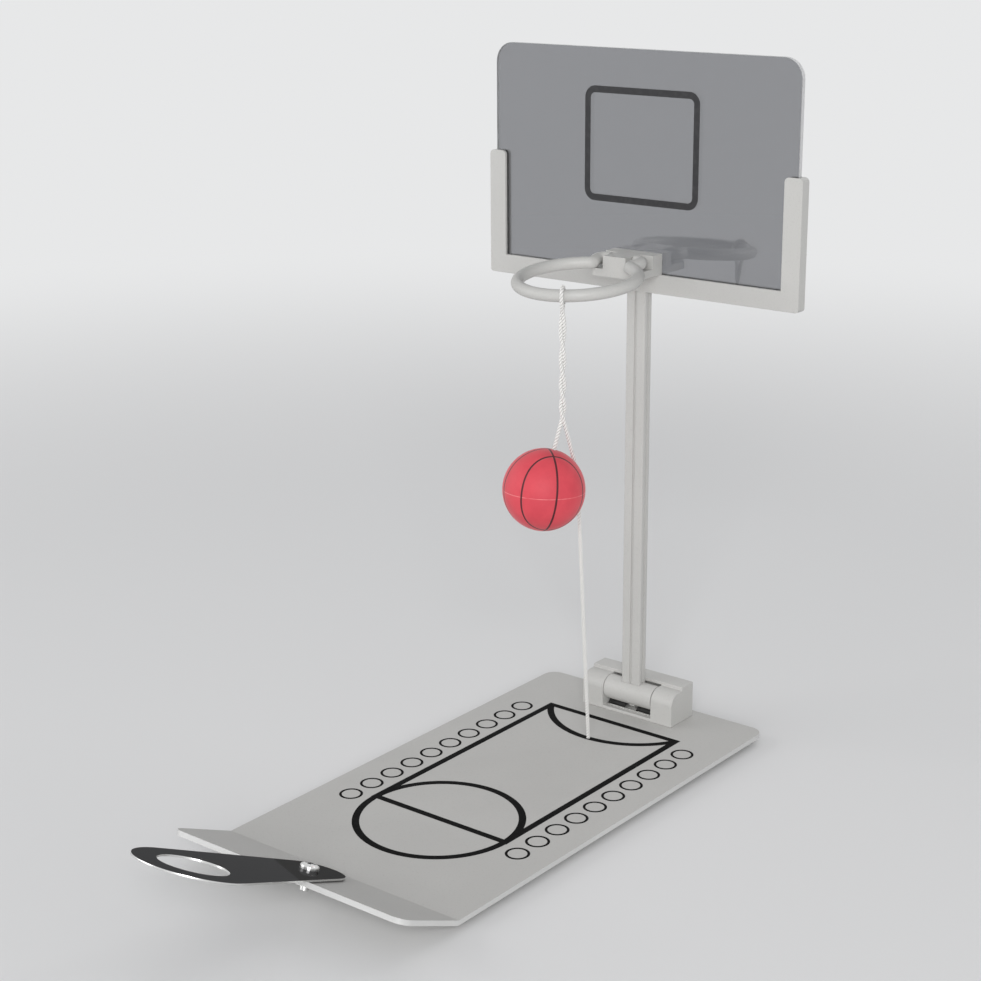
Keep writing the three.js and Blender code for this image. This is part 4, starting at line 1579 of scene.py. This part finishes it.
@dataclass(frozen=True)
class HoopRing:
    """The hoop's bent rod."""

    radius: float = 20.45
    rod_radius: float = 2.12
    pivot_y: float = -24.5
    pivot_z: float = 172.7
    centre_ahead: float = 26.8
    arm_x: float = 8.8
    arm_handle_share: float = 1 / 2.4
    arm_steps: int = 6
    elbow_radius: float = 2.8
    elbow_steps: int = 8
    arm_start: float = math.radians(64)
    droop: float = math.radians(5.6)
    lug_half: float = 4.75
    lug_gap: float = 0.3
    round_steps: int = 30
    sides: int = 40
    spacing: float = 0.6
    end_angle: float = math.radians(60)

    def drooped(self, x: float, y: float) -> np.ndarray:
        """Tips a point of the level hoop down about its pivot."""
        out, down = (y - self.pivot_y) * np.array([math.cos(self.droop), math.sin(self.droop)])
        return np.array([x, self.pivot_y + out, self.pivot_z + down])

    def at(self, angle: float) -> np.ndarray:
        """Gives the point of the round part's centre line at an angle from the X axis."""
        centre_y = self.pivot_y - self.centre_ahead
        return self.drooped(self.radius * math.cos(angle), centre_y + self.radius * math.sin(angle))

    def route(self) -> list[np.ndarray]:
        """Gives the rod's centre line.

        Returns:
            Points on the drawing, from the lug's right side round to its left side.
        """
        elbow = arc(self.arm_x - self.elbow_radius, self.pivot_y - self.elbow_radius,
                    self.elbow_radius, QUARTER, 0, self.elbow_steps)
        bow = arc(0, self.pivot_y - self.centre_ahead, self.radius, self.arm_start, -QUARTER,
                  self.round_steps)
        end, foot = elbow[-1], bow[0]
        reach = float(np.hypot(*(end - foot))) * self.arm_handle_share
        along = np.array([math.sin(self.arm_start), -math.cos(self.arm_start)])
        arm = cubic(end, end - np.array([0, reach]), foot - along * reach, foot, self.arm_steps)
        start = np.array([self.lug_half + self.lug_gap, self.pivot_y])
        right = [start, *elbow, *arm[1:-1], *bow]
        return [self.drooped(*p) for p in [*right, *mirrored(right[:-1])]]

    def build(self, shop: Workshop) -> list[bpy.types.Object]:
        """Makes the rod.

        Args:
            shop: Frame and finishes.

        Returns:
            The rod.
        """
        line = path_mesh("hoop_rod", to_frame(smooth_line(self.route(), self.spacing)))
        rod = rod_recipe().make("hoop_rod", line, shop.material(Look.CAST),
                                {"Rod radius": self.rod_radius * MM, "Sides": self.sides})
        smooth(rod, self.end_angle)
        return [shop.finish(rod, Body.HOOP, Slot.PAINTED, "hoop_ring")]


@dataclass(frozen=True)
class LauncherLeaf:
    """Mirror-polished leaf, one sheet from tail to head."""

    low: float = 0.5
    thickness: float = 0.6
    tail_radius: float = 10.0
    tail_ahead: float = 12.8
    tail_steps: int = 24
    head_radius: float = 18.3
    head_ahead: float = 67.0
    head_steps: int = 56
    neck_steps: int = 21
    cup_radius: float = 10.8
    cup_steps: int = 72
    bend_start: float = 22.0
    bend_end: float = 42.0
    edge: float = 0.13
    edge_segments: int = 2
    level: float = 0.7

    def outline(self) -> list[np.ndarray]:
        """Gives the leaf's outline.

        Returns:
            Points to the right and ahead on the flange.
        """
        widening, apart = self.head_radius - self.tail_radius, self.head_ahead - self.tail_ahead
        lean = math.asin(widening / apart)
        tail = arc(0, self.tail_ahead, self.tail_radius, -QUARTER, -lean, self.tail_steps)
        head = arc(0, self.head_ahead, self.head_radius, -lean, QUARTER, self.head_steps)
        shares = np.linspace(0, 1, self.neck_steps + 1)[1:-1]
        neck = [tail[-1] + (head[0] - tail[-1]) * share for share in shares]
        right = [*tail, *neck, *head]
        return [*right, *mirrored(right[1:-1])]

    def build(self, shop: Workshop) -> list[bpy.types.Object]:
        """Makes the leaf.

        Args:
            shop: Frame and finishes.

        Returns:
            The leaf.
        """
        top = self.low + self.thickness
        build = bmesh.new()
        edges = []
        for loop in (self.outline(), ring(0, self.head_ahead, self.cup_radius, self.cup_steps)):
            corners = [build.verts.new(FLANGE.on(x, ahead, top)) for x, ahead in loop]
            edges += [build.edges.new(pair) for pair in zip(corners, corners[1:] + corners[:1])]
        bmesh.ops.triangle_fill(build, use_beauty=True, use_dissolve=False, edges=edges)
        bmesh.ops.recalc_face_normals(build, faces=build.faces)
        if sum(face.normal.z for face in build.faces) < 0:
            bmesh.ops.reverse_faces(build, faces=build.faces)
        leaf = add_object("launcher_sheet", mesh_of("launcher_sheet", build))
        thick = leaf.modifiers.new("thickness", "SOLIDIFY")
        thick.thickness = self.thickness * MM
        thick.offset = -1
        bake(leaf)
        # Side faces and rounds take the brighter plated steel, a painted highlight along the leaf's
        # rim.
        shop.dress(leaf, Look.MIRROR, Look.PLATED)
        upward = FLANGE.upward()
        for face in leaf.data.polygons:
            face.material_index = 0 if abs(face.normal.dot(upward)) > self.level else 1
        round_edges(leaf, self.edge, self.edge_segments, rim_and_highlight_slot=1)
        settle_normals(leaf)
        FLANGE.on(0, self.bend_start, self.low)
        FLANGE.on(0, self.bend_end, self.low)
        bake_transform(leaf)
        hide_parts("launcher_leaf", "launcher_head")
        return [leaf]


@dataclass(frozen=True)
class LauncherScrew:
    """Pan head with a cross recess that clamps the leaf."""

    ahead: float = 15.3
    seat: float = 1.1
    head: float = 3.1
    height: float = 1.9
    rim_share: float = 0.45
    dome_fullness: float = 0.6
    dome_end: float = 1.45
    dome_points: int = 10
    shank: float = 1.5
    length: float = 6.9
    point: float = 0.4
    point_share: float = 0.8
    sides: int = 56
    merge: float = 0.001
    cross_share: float = 0.68
    depth_share: float = 0.75
    spin: float = math.radians(24)

    def profile(self) -> list[tuple[float, float]]:
        """Gives the screw's half section.

        Returns:
            Distances from its axis and heights, from its point to the top of its head.
        """
        rounded = [
            (self.head * math.cos(t) ** self.dome_fullness,
             self.height * (self.rim_share + (1 - self.rim_share) * math.sin(t)))
            for t in np.linspace(0, self.dome_end, self.dome_points)
        ]
        return [(0, -self.length), (self.shank * self.point_share, -self.length),
                (self.shank, self.point - self.length), (self.shank, 0), (self.head, 0), *rounded,
                (0, self.height)]

    def build(self, shop: Workshop) -> list[bpy.types.Object]:
        """Makes the screw.

        Args:
            shop: Frame and finishes.

        Returns:
            The screw.
        """
        build = bmesh.new()
        line = [build.verts.new((r * MM, 0, z * MM)) for r, z in self.profile()]
        edges = [build.edges.new(pair) for pair in zip(line, line[1:])]
        bmesh.ops.spin(build, geom=[*line, *edges], cent=(0, 0, 0), axis=(0, 0, 1), dvec=(0, 0, 0),
                       angle=FULL, steps=self.sides, use_merge=True)
        bmesh.ops.remove_doubles(build, verts=build.verts, dist=self.merge * MM)
        bmesh.ops.recalc_face_normals(build, faces=build.faces)
        screw = add_object("launcher_pan_head", mesh_of("launcher_pan_head", build))
        shop.dress(screw, Look.PLATED)
        # The recess is lined with dark steel, painted shade.
        carve_cross(screw, Matrix.Translation((0, 0, self.height * MM)),
                    self.head * self.cross_share, self.height * self.depth_share,
                    shop.material(Look.SPRING_AND_RECESS_SHADE))
        tilt = Matrix.Rotation(-FLANGE.angle, 4, "X") @ Matrix.Rotation(self.spin, 4, "Z")
        seat = Matrix.Translation(FLANGE.on(0, self.ahead, self.seat))
        screw.data.transform(seat @ tilt)
        settle_normals(screw, SCREW_SHARP_FROM)
        return [shop.finish(screw, Body.BASE, Slot.PLATED, "launcher_screw")]


@dataclass(frozen=True)
class HangingBall:
    """The rubber ball, with a dimple where the cord goes in."""

    centre: Point = BallRubber.centre
    radius: float = 14.0
    entry: Point = (0.085, 0.328, 0.941)
    dimple_depth: float = 0.5
    dimple_radius: float = 1.2
    subdivisions: int = 6

    def build(self, shop: Workshop) -> list[bpy.types.Object]:
        """Makes the ball.

        Args:
            shop: Frame and finishes.

        Returns:
            The ball.
        """
        build = bmesh.new()
        bmesh.ops.create_icosphere(build, subdivisions=self.subdivisions, radius=self.radius * MM)
        centre, entry = place(*self.centre), Vector(self.entry)
        for vertex in build.verts:
            outward = vertex.co.normalized()
            near = outward.angle(entry) * self.radius / self.dimple_radius
            reach = self.radius - self.dimple_depth * math.exp(-near * near)
            vertex.co = centre + outward * reach * MM
        ball = add_object("rubber_ball", mesh_of("rubber_ball", build))
        ball.data.shade_smooth()
        shop.dress(ball, Look.BALL)
        return [shop.finish(ball, Body.BALL, Slot.BALL, "ball")]


@dataclass(frozen=True)
class FreeCord:
    """The cord in three lengths.

    It goes from a knot under the base past the ball, in a twisted pair up to the hoop, over the
    hoop's rod and back down to the ball.
    """

    ball: HangingBall = HangingBall()
    hoop: HoopRing = HoopRing()
    radius: float = 0.7
    hole: Point = (1.1, -44.5, 0.0)
    lowest: float = -2.0
    fork: Point = (6.61, -68.3, 126.6)
    rim_angle: float = math.radians(-68.1)
    loop_angle: float = math.radians(-61.2)
    twists: float = 2.04
    twist_share: float = 0.9
    tighten: float = 0.36
    pair_radius: float = 0.62
    steps_per_twist: int = 12
    flare: float = 0.16
    loop_steps: int = 10
    wrap_low: float = math.radians(7.7)
    wrap_high: float = math.radians(20.5)
    shares: tuple[float, float] = (0.48, 0.77)
    bend_share: float = 0.95
    taut_share: float = 0.625
    taut_bend: float = 0.001
    ball_gap: float = 0.1
    rod_gap: float = 0.08
    buried: float = 0.9
    lay: float = 3.6
    plies: int = 3
    ply_depth: float = 0.28
    sides: int = 24
    spacing: float = 0.2
    end_angle: float = math.radians(70)
    knot_yarn: float = 0.55
    knot_share: float = 0.23
    knot_rise: float = 0.32
    knot_points: int = 160

    @property
    def loop_radius(self) -> float:
        """Gives the radius of the cord's centre line round the hoop's rod."""
        return self.hoop.rod_radius + self.rod_gap + self.radius

    def axes(self) -> tuple[np.ndarray, np.ndarray, np.ndarray, np.ndarray]:
        """Gives the twisted pair's frame.

        Returns:
            From the fork to the rod, that way as a unit, the way that the loop faces, and across.
        """
        axis = self.hoop.at(self.rim_angle) - np.array(self.fork)
        up = axis / np.linalg.norm(axis)
        out = np.array([math.cos(self.loop_angle), math.sin(self.loop_angle), 0.0])
        out -= up * np.dot(out, up)
        out /= np.linalg.norm(out)
        return axis, up, out, np.cross(up, out)

    def beside_ball(self, elevation: float) -> np.ndarray:
        """Gives a point of the cord beside the ball.

        Args:
            elevation: Its angle above the ball's middle.

        Returns:
            The point on the drawing.
        """
        centre = np.array(self.ball.centre)
        beside = (np.array(self.fork) - centre)[:2]
        beside /= np.linalg.norm(beside)
        reach = self.ball.radius + self.ball_gap + self.radius
        return centre + reach * np.array([*(beside * math.cos(elevation)), math.sin(elevation)])

    def straight(self, share: float) -> np.ndarray:
        """Gives a point of the straight part, from 0 at the base to 1 at the ball."""
        hole = np.array(self.hole)
        return hole + (self.beside_ball(self.wrap_low) - hole) * share

    def twisted(self, share: float, strand: int) -> np.ndarray:
        """Gives a point on one strand of the pair.

        Args:
            share: 0 at the fork to 1 beside the rod.
            strand: 1 or -1.

        Returns:
            The point on the drawing.
        """
        axis, _, out, side = self.axes()
        opening = max(0.0, (share - (1 - self.flare)) / self.flare)
        widened = (self.loop_radius - self.pair_radius) * math.sin(opening * QUARTER) ** 2
        along = min(1.0, share / self.twist_share)
        turned = along * (1 + self.tighten * (1 - along))
        angle = FULL * self.twists * (1 - turned)
        around = out * math.cos(angle) + side * math.sin(angle)
        return np.array(self.fork) + axis * share + strand * (self.pair_radius + widened) * around

    def pair(self) -> list[np.ndarray]:
        """Gives the twisted pair, over the hoop's rod and back.

        Returns:
            Points on the drawing.
        """
        _, up, out, _ = self.axes()
        rim = self.hoop.at(self.rim_angle)
        turn = arc(0, 0, self.loop_radius, 0, math.pi, self.loop_steps)[1:-1]
        count = round(self.twists * self.steps_per_twist / (1 - self.flare))
        shares = [i / count for i in range(count + 1)]
        rising = [self.twisted(share, 1) for share in shares]
        falling = [self.twisted(share, -1) for share in reversed(shares)]
        return [*rising, *(rim + out * p[0] + up * p[1] for p in turn), *falling]

    def build(self, shop: Workshop) -> list[bpy.types.Object]:
        """Makes the cord.

        Args:
            shop: Frame and finishes.

        Returns:
            Its knot and its three lengths.
        """
        hole, centre = np.array(self.hole), np.array(self.ball.centre)
        wrap = self.beside_ball(self.wrap_low)
        low, high = self.shares
        on = self.straight
        pair = self.pair()
        to_ball = (pair[-1] - centre) / np.linalg.norm(pair[-1] - centre)
        entry = centre + to_ball * (self.ball.radius - self.buried)
        lower = [np.array([hole[0], hole[1], self.lowest]), hole, on(low / 2), on(low)]
        middle = [on(low), on((low + high) / 2), on(high)]
        upper = [on(high), on((high + 1) / 2), wrap,
                 self.beside_ball((self.wrap_low + self.wrap_high) / 2),
                 self.beside_ball(self.wrap_high), *pair, (pair[-1] + entry) / 2, entry]
        recipe = cord_recipe()
        knot = self.knot(shop, recipe)
        return [
            knot,
            self.length(shop, recipe, "cord_lower", lower, (Body.BASE, Body.MAST),
                        ("cord_strand_lower",), with_pieces=[knot]),
            self.length(shop, recipe, "cord_middle", middle, (Body.MAST, Body.HOOP),
                        ("cord_strand_middle",),
                        bend=(on(self.taut_share), on(self.taut_share + self.taut_bend))),
            self.length(shop, recipe, "cord_upper", upper, (Body.HOOP, Body.BALL),
                        ("cord_strand_upper", "cord_pair", "cord_ball_strand"),
                        bend=(on(high), on(self.bend_share))),
        ]

    def yarn(self, shop: Workshop, recipe: Recipe, name: str, line: Sequence[Vector],
             radius: float, closed: bool) -> bpy.types.Object:
        """Makes cord along a line.

        Args:
            shop: Frame and finishes.
            recipe: Tree of the cord.
            name: Name of the piece.
            line: Points in metres.
            radius: Radius of the cord in millimetres.
            closed: Whether the line joins up with itself.

        Returns:
            The piece.
        """
        tube = recipe.make(name, path_mesh(name, line, closed), shop.material(Look.COTTON), {
            "Cord radius": radius * MM, "Ply depth": self.ply_depth, "Plies": self.plies,
            "Lay": self.lay * MM, "Sides": self.sides,
        })
        smooth(tube, self.end_angle)
        return tube

    def length(self, shop: Workshop, recipe: Recipe, name: str, route: Sequence[np.ndarray],
               bodies: tuple[Body, Body], nodes: Sequence[str],
               bend: tuple[np.ndarray, np.ndarray] | None = None,
               with_pieces: Sequence[bpy.types.Object] = ()) -> bpy.types.Object:
        """Makes one length of cord.

        Args:
            shop: Frame and finishes.
            recipe: Tree of the cord.
            name: Name of the piece.
            route: Points on the drawing.
            bodies: Not used.
            nodes: CAD nodes that it replaces.
            bend: First and last point of the bend, or None for the whole length.
            with_pieces: Pieces on it.

        Returns:
            The piece.
        """
        line = smooth_line(route, self.spacing)
        points = to_frame(line)
        tube = self.yarn(shop, recipe, name, points, self.radius, False)
        first, last = bend or (line[0], line[-1])
        place(*first)
        place(*last)
        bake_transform(tube)
        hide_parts(*nodes)
        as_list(with_pieces)
        return tube

    def knot(self, shop: Workshop, recipe: Recipe) -> bpy.types.Object:
        """Makes the pulled knot under the base, on a trefoil.

        Args:
            shop: Frame and finishes.
            recipe: Tree of the cord.

        Returns:
            The knot.
        """
        middle, half = half_box("cord_knot")
        size = half.x * self.knot_share
        line = []
        for t in np.linspace(0, FULL, self.knot_points + 1)[:-1]:
            across = (math.sin(t) + 2 * math.sin(2 * t)) * size
            ahead = (math.cos(t) - 2 * math.cos(2 * t)) * size
            line.append(middle + Vector((across, ahead, -math.sin(3 * t) * self.knot_rise * MM)))
        knot = self.yarn(shop, recipe, "cord_knot_pulled", line, self.knot_yarn, True)
        return shop.finish(knot, Body.BASE, Slot.CORD, "cord_knot")


# Studio


@dataclass(frozen=True)
class PhotoCamera:
    """The photograph's camera, fitted to its edges."""

    position: Point = (0.39121, -0.46212, 0.30304)
    azimuth: float = math.radians(38.59)
    elevation: float = math.radians(16.99)
    roll: float = math.radians(-0.41)
    focal_pixels: float = 1999.32
    frame_pixels: int = 981
    sensor: float = 36.0
    near: float = 0.01
    far: float = 50.0

    def build(self) -> bpy.types.Object:
        """Makes the camera.

        Returns:
            The camera.
        """
        level = math.cos(self.elevation)
        back = Vector((math.sin(self.azimuth) * level, -math.cos(self.azimuth) * level,
                       math.sin(self.elevation)))
        right = (-back).cross(Vector((0, 0, 1))).normalized()
        up = right.cross(-back)
        turned = right * math.cos(self.roll) + up * math.sin(self.roll)
        risen = up * math.cos(self.roll) - right * math.sin(self.roll)
        data = bpy.data.cameras.new("photo_camera")
        data.sensor_width = self.sensor
        data.lens = self.focal_pixels * self.sensor / self.frame_pixels
        data.clip_start, data.clip_end = self.near, self.far
        camera = bpy.data.objects.new("photo_camera", data)
        bpy.context.scene.collection.objects.link(camera)
        rotation = Matrix((turned, risen, back)).transposed().to_4x4()
        camera.matrix_world = Matrix.Translation(self.position) @ rotation
        bpy.context.scene.camera = camera
        return camera


@dataclass(frozen=True)
class SoftLight:
    """A soft box."""

    name: str
    place: Point
    aim: Point
    size: tuple[float, float]
    power: float

    def build(self) -> None:
        """Makes the light."""
        data = bpy.data.lights.new(self.name, "AREA")
        data.shape = "RECTANGLE"
        data.size, data.size_y = self.size
        data.energy = self.power
        light = bpy.data.objects.new(self.name, data)
        bpy.context.scene.collection.objects.link(light)
        light.location = self.place
        facing = Vector(self.aim) - Vector(self.place)
        light.rotation_euler = facing.to_track_quat("-Z", "Y").to_euler()


@dataclass(frozen=True)
class Studio:
    """Floor, background and lights."""

    floor_radius: float = 9.0
    floor_sides: int = 96
    ambience: Colour = (0.92, 0.93, 0.95)
    ambient_strength: float = 0.45
    backdrop: Colour = (0.80, 0.805, 0.81)
    lights: tuple[SoftLight, ...] = (
        SoftLight("key", (1.15, -1.50, 0.85), (0.0, -0.02, 0.10), (0.9, 0.9), 24.0),
        SoftLight("fill", (-1.40, -1.00, 0.70), (0.0, 0.0, 0.10), (1.2, 1.0), 9.0),
        SoftLight("rear", (0.15, 1.35, 1.35), (0.0, 0.05, 0.10), (1.4, 0.7), 4.0),
    )

    def build(self, shop: Workshop) -> list[bpy.types.Object]:
        """Makes the studio.

        Args:
            shop: Frame and finishes.

        Returns:
            The floor.
        """
        build = bmesh.new()
        bmesh.ops.create_circle(build, cap_ends=True, segments=self.floor_sides,
                                radius=self.floor_radius)
        floor = add_object("floor", mesh_of("floor", build))
        shop.dress(floor, Look.FLOOR)
        floor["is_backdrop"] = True
        for light in self.lights:
            light.build()
        self.surround()
        bpy.context.scene.view_settings.view_transform = "Standard"
        return [floor]

    def surround(self) -> None:
        """Makes the world: one strength that lights the game, one pale colour that is seen."""
        world = bpy.data.worlds.new("studio")
        bpy.context.scene.world = world
        world.use_nodes = True
        nodes = Nodes(world.node_tree)
        lit = nodes.tree.nodes["Background"]
        nodes.feed(self.ambience, lit.inputs["Color"])
        nodes.feed(self.ambient_strength, lit.inputs["Strength"])
        pale = nodes.add("ShaderNodeBackground", Color=self.backdrop)
        mixed = nodes.mix_shaders(nodes.seen(), lit.outputs[0], pale.outputs[0])
        nodes.feed(mixed, nodes.tree.nodes["World Output"].inputs["Surface"])


def painted(node: str, body: Body, look: Look, edge: Edge, segments: int = 3) -> CadPiece:
    """Gives a painted piece of the CAD."""
    return CadPiece(node, body, Slot.PAINTED, look, edge, segments)


def plated(node: str, body: Body, edge: Edge = Edge.SAWN) -> CadPiece:
    """Gives a plated piece of the CAD."""
    return CadPiece(node, body, Slot.PLATED, Look.PLATED, edge, segments=2)


PIECES = (
    FreeCord(),
    BasePlate(),
    painted("hinge_housing", Body.BASE, Look.CAST, Edge.TURNED),
    painted("mast_barrel", Body.MAST, Look.CAST, Edge.TURNED),
    painted("mast_post", Body.MAST, Look.BAR, Edge.DRAWN, 2),
    painted("backboard_frame", Body.MAST, Look.BAR, Edge.TURNED),
    painted("hoop_bracket", Body.MAST, Look.CAST, Edge.FOLDED),
    Backboard(),
    CadPiece("friction_leaf", Body.BASE, Slot.PLATED, Look.SPRING_AND_RECESS_SHADE, Edge.STAMPED,
             side_look=Look.PLATED),
    plated("launcher_nut", Body.BASE, Edge.FOLDED),
    plated("launcher_washer", Body.BASE, Edge.STAMPED),
    plated("hinge_pin_left", Body.BASE),
    plated("hinge_pin_right", Body.BASE),
    plated("hoop_pin", Body.MAST),
    plated("post_screw", Body.MAST),
    plated("frame_screw", Body.MAST, Edge.STAMPED),
    *(CadPiece(f"foot_{end}_{side}", Body.BASE, Slot.PAD, Look.PAD, Edge.CAST)
      for end in ("rear", "front") for side in ("left", "right")),
    CrossScrew("bracket_screw_left", Body.MAST, Facing.REAR, 12),
    CrossScrew("bracket_screw_right", Body.MAST, Facing.REAR, 37),
    CrossScrew("housing_screw_left", Body.BASE, Facing.DOWN, 20),
    CrossScrew("housing_screw_right", Body.BASE, Facing.DOWN, 5),
    HoopRing(),
    LauncherLeaf(),
    LauncherScrew(),
    HangingBall(),
    CourtPrint(),
    TargetSquare(),
    Studio(),
)


def corners(bounds: object) -> list:
    """Turns a box's lowest and highest corner into plain lists of numbers."""
    return [[float(x) for x in corner] for corner in bounds]


def main() -> None:
    """Builds the scene."""
    logging.basicConfig(level=logging.INFO, format="%(name)s: %(message)s")
    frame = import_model()
    cad_box = corners(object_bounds())
    PhotoCamera().build()
    shop = Workshop(frame)
    for part in PIECES:
        for piece in part.build(shop):
            faces = len(piece.data.polygons)
            log.info("%s: %s, %d faces", type(part).__name__, piece.name, faces)
    visual_box = corners(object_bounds())
    log.info("CAD box %s, visual box %s", cad_box, visual_box)


if __name__ == "__main__":
    main()
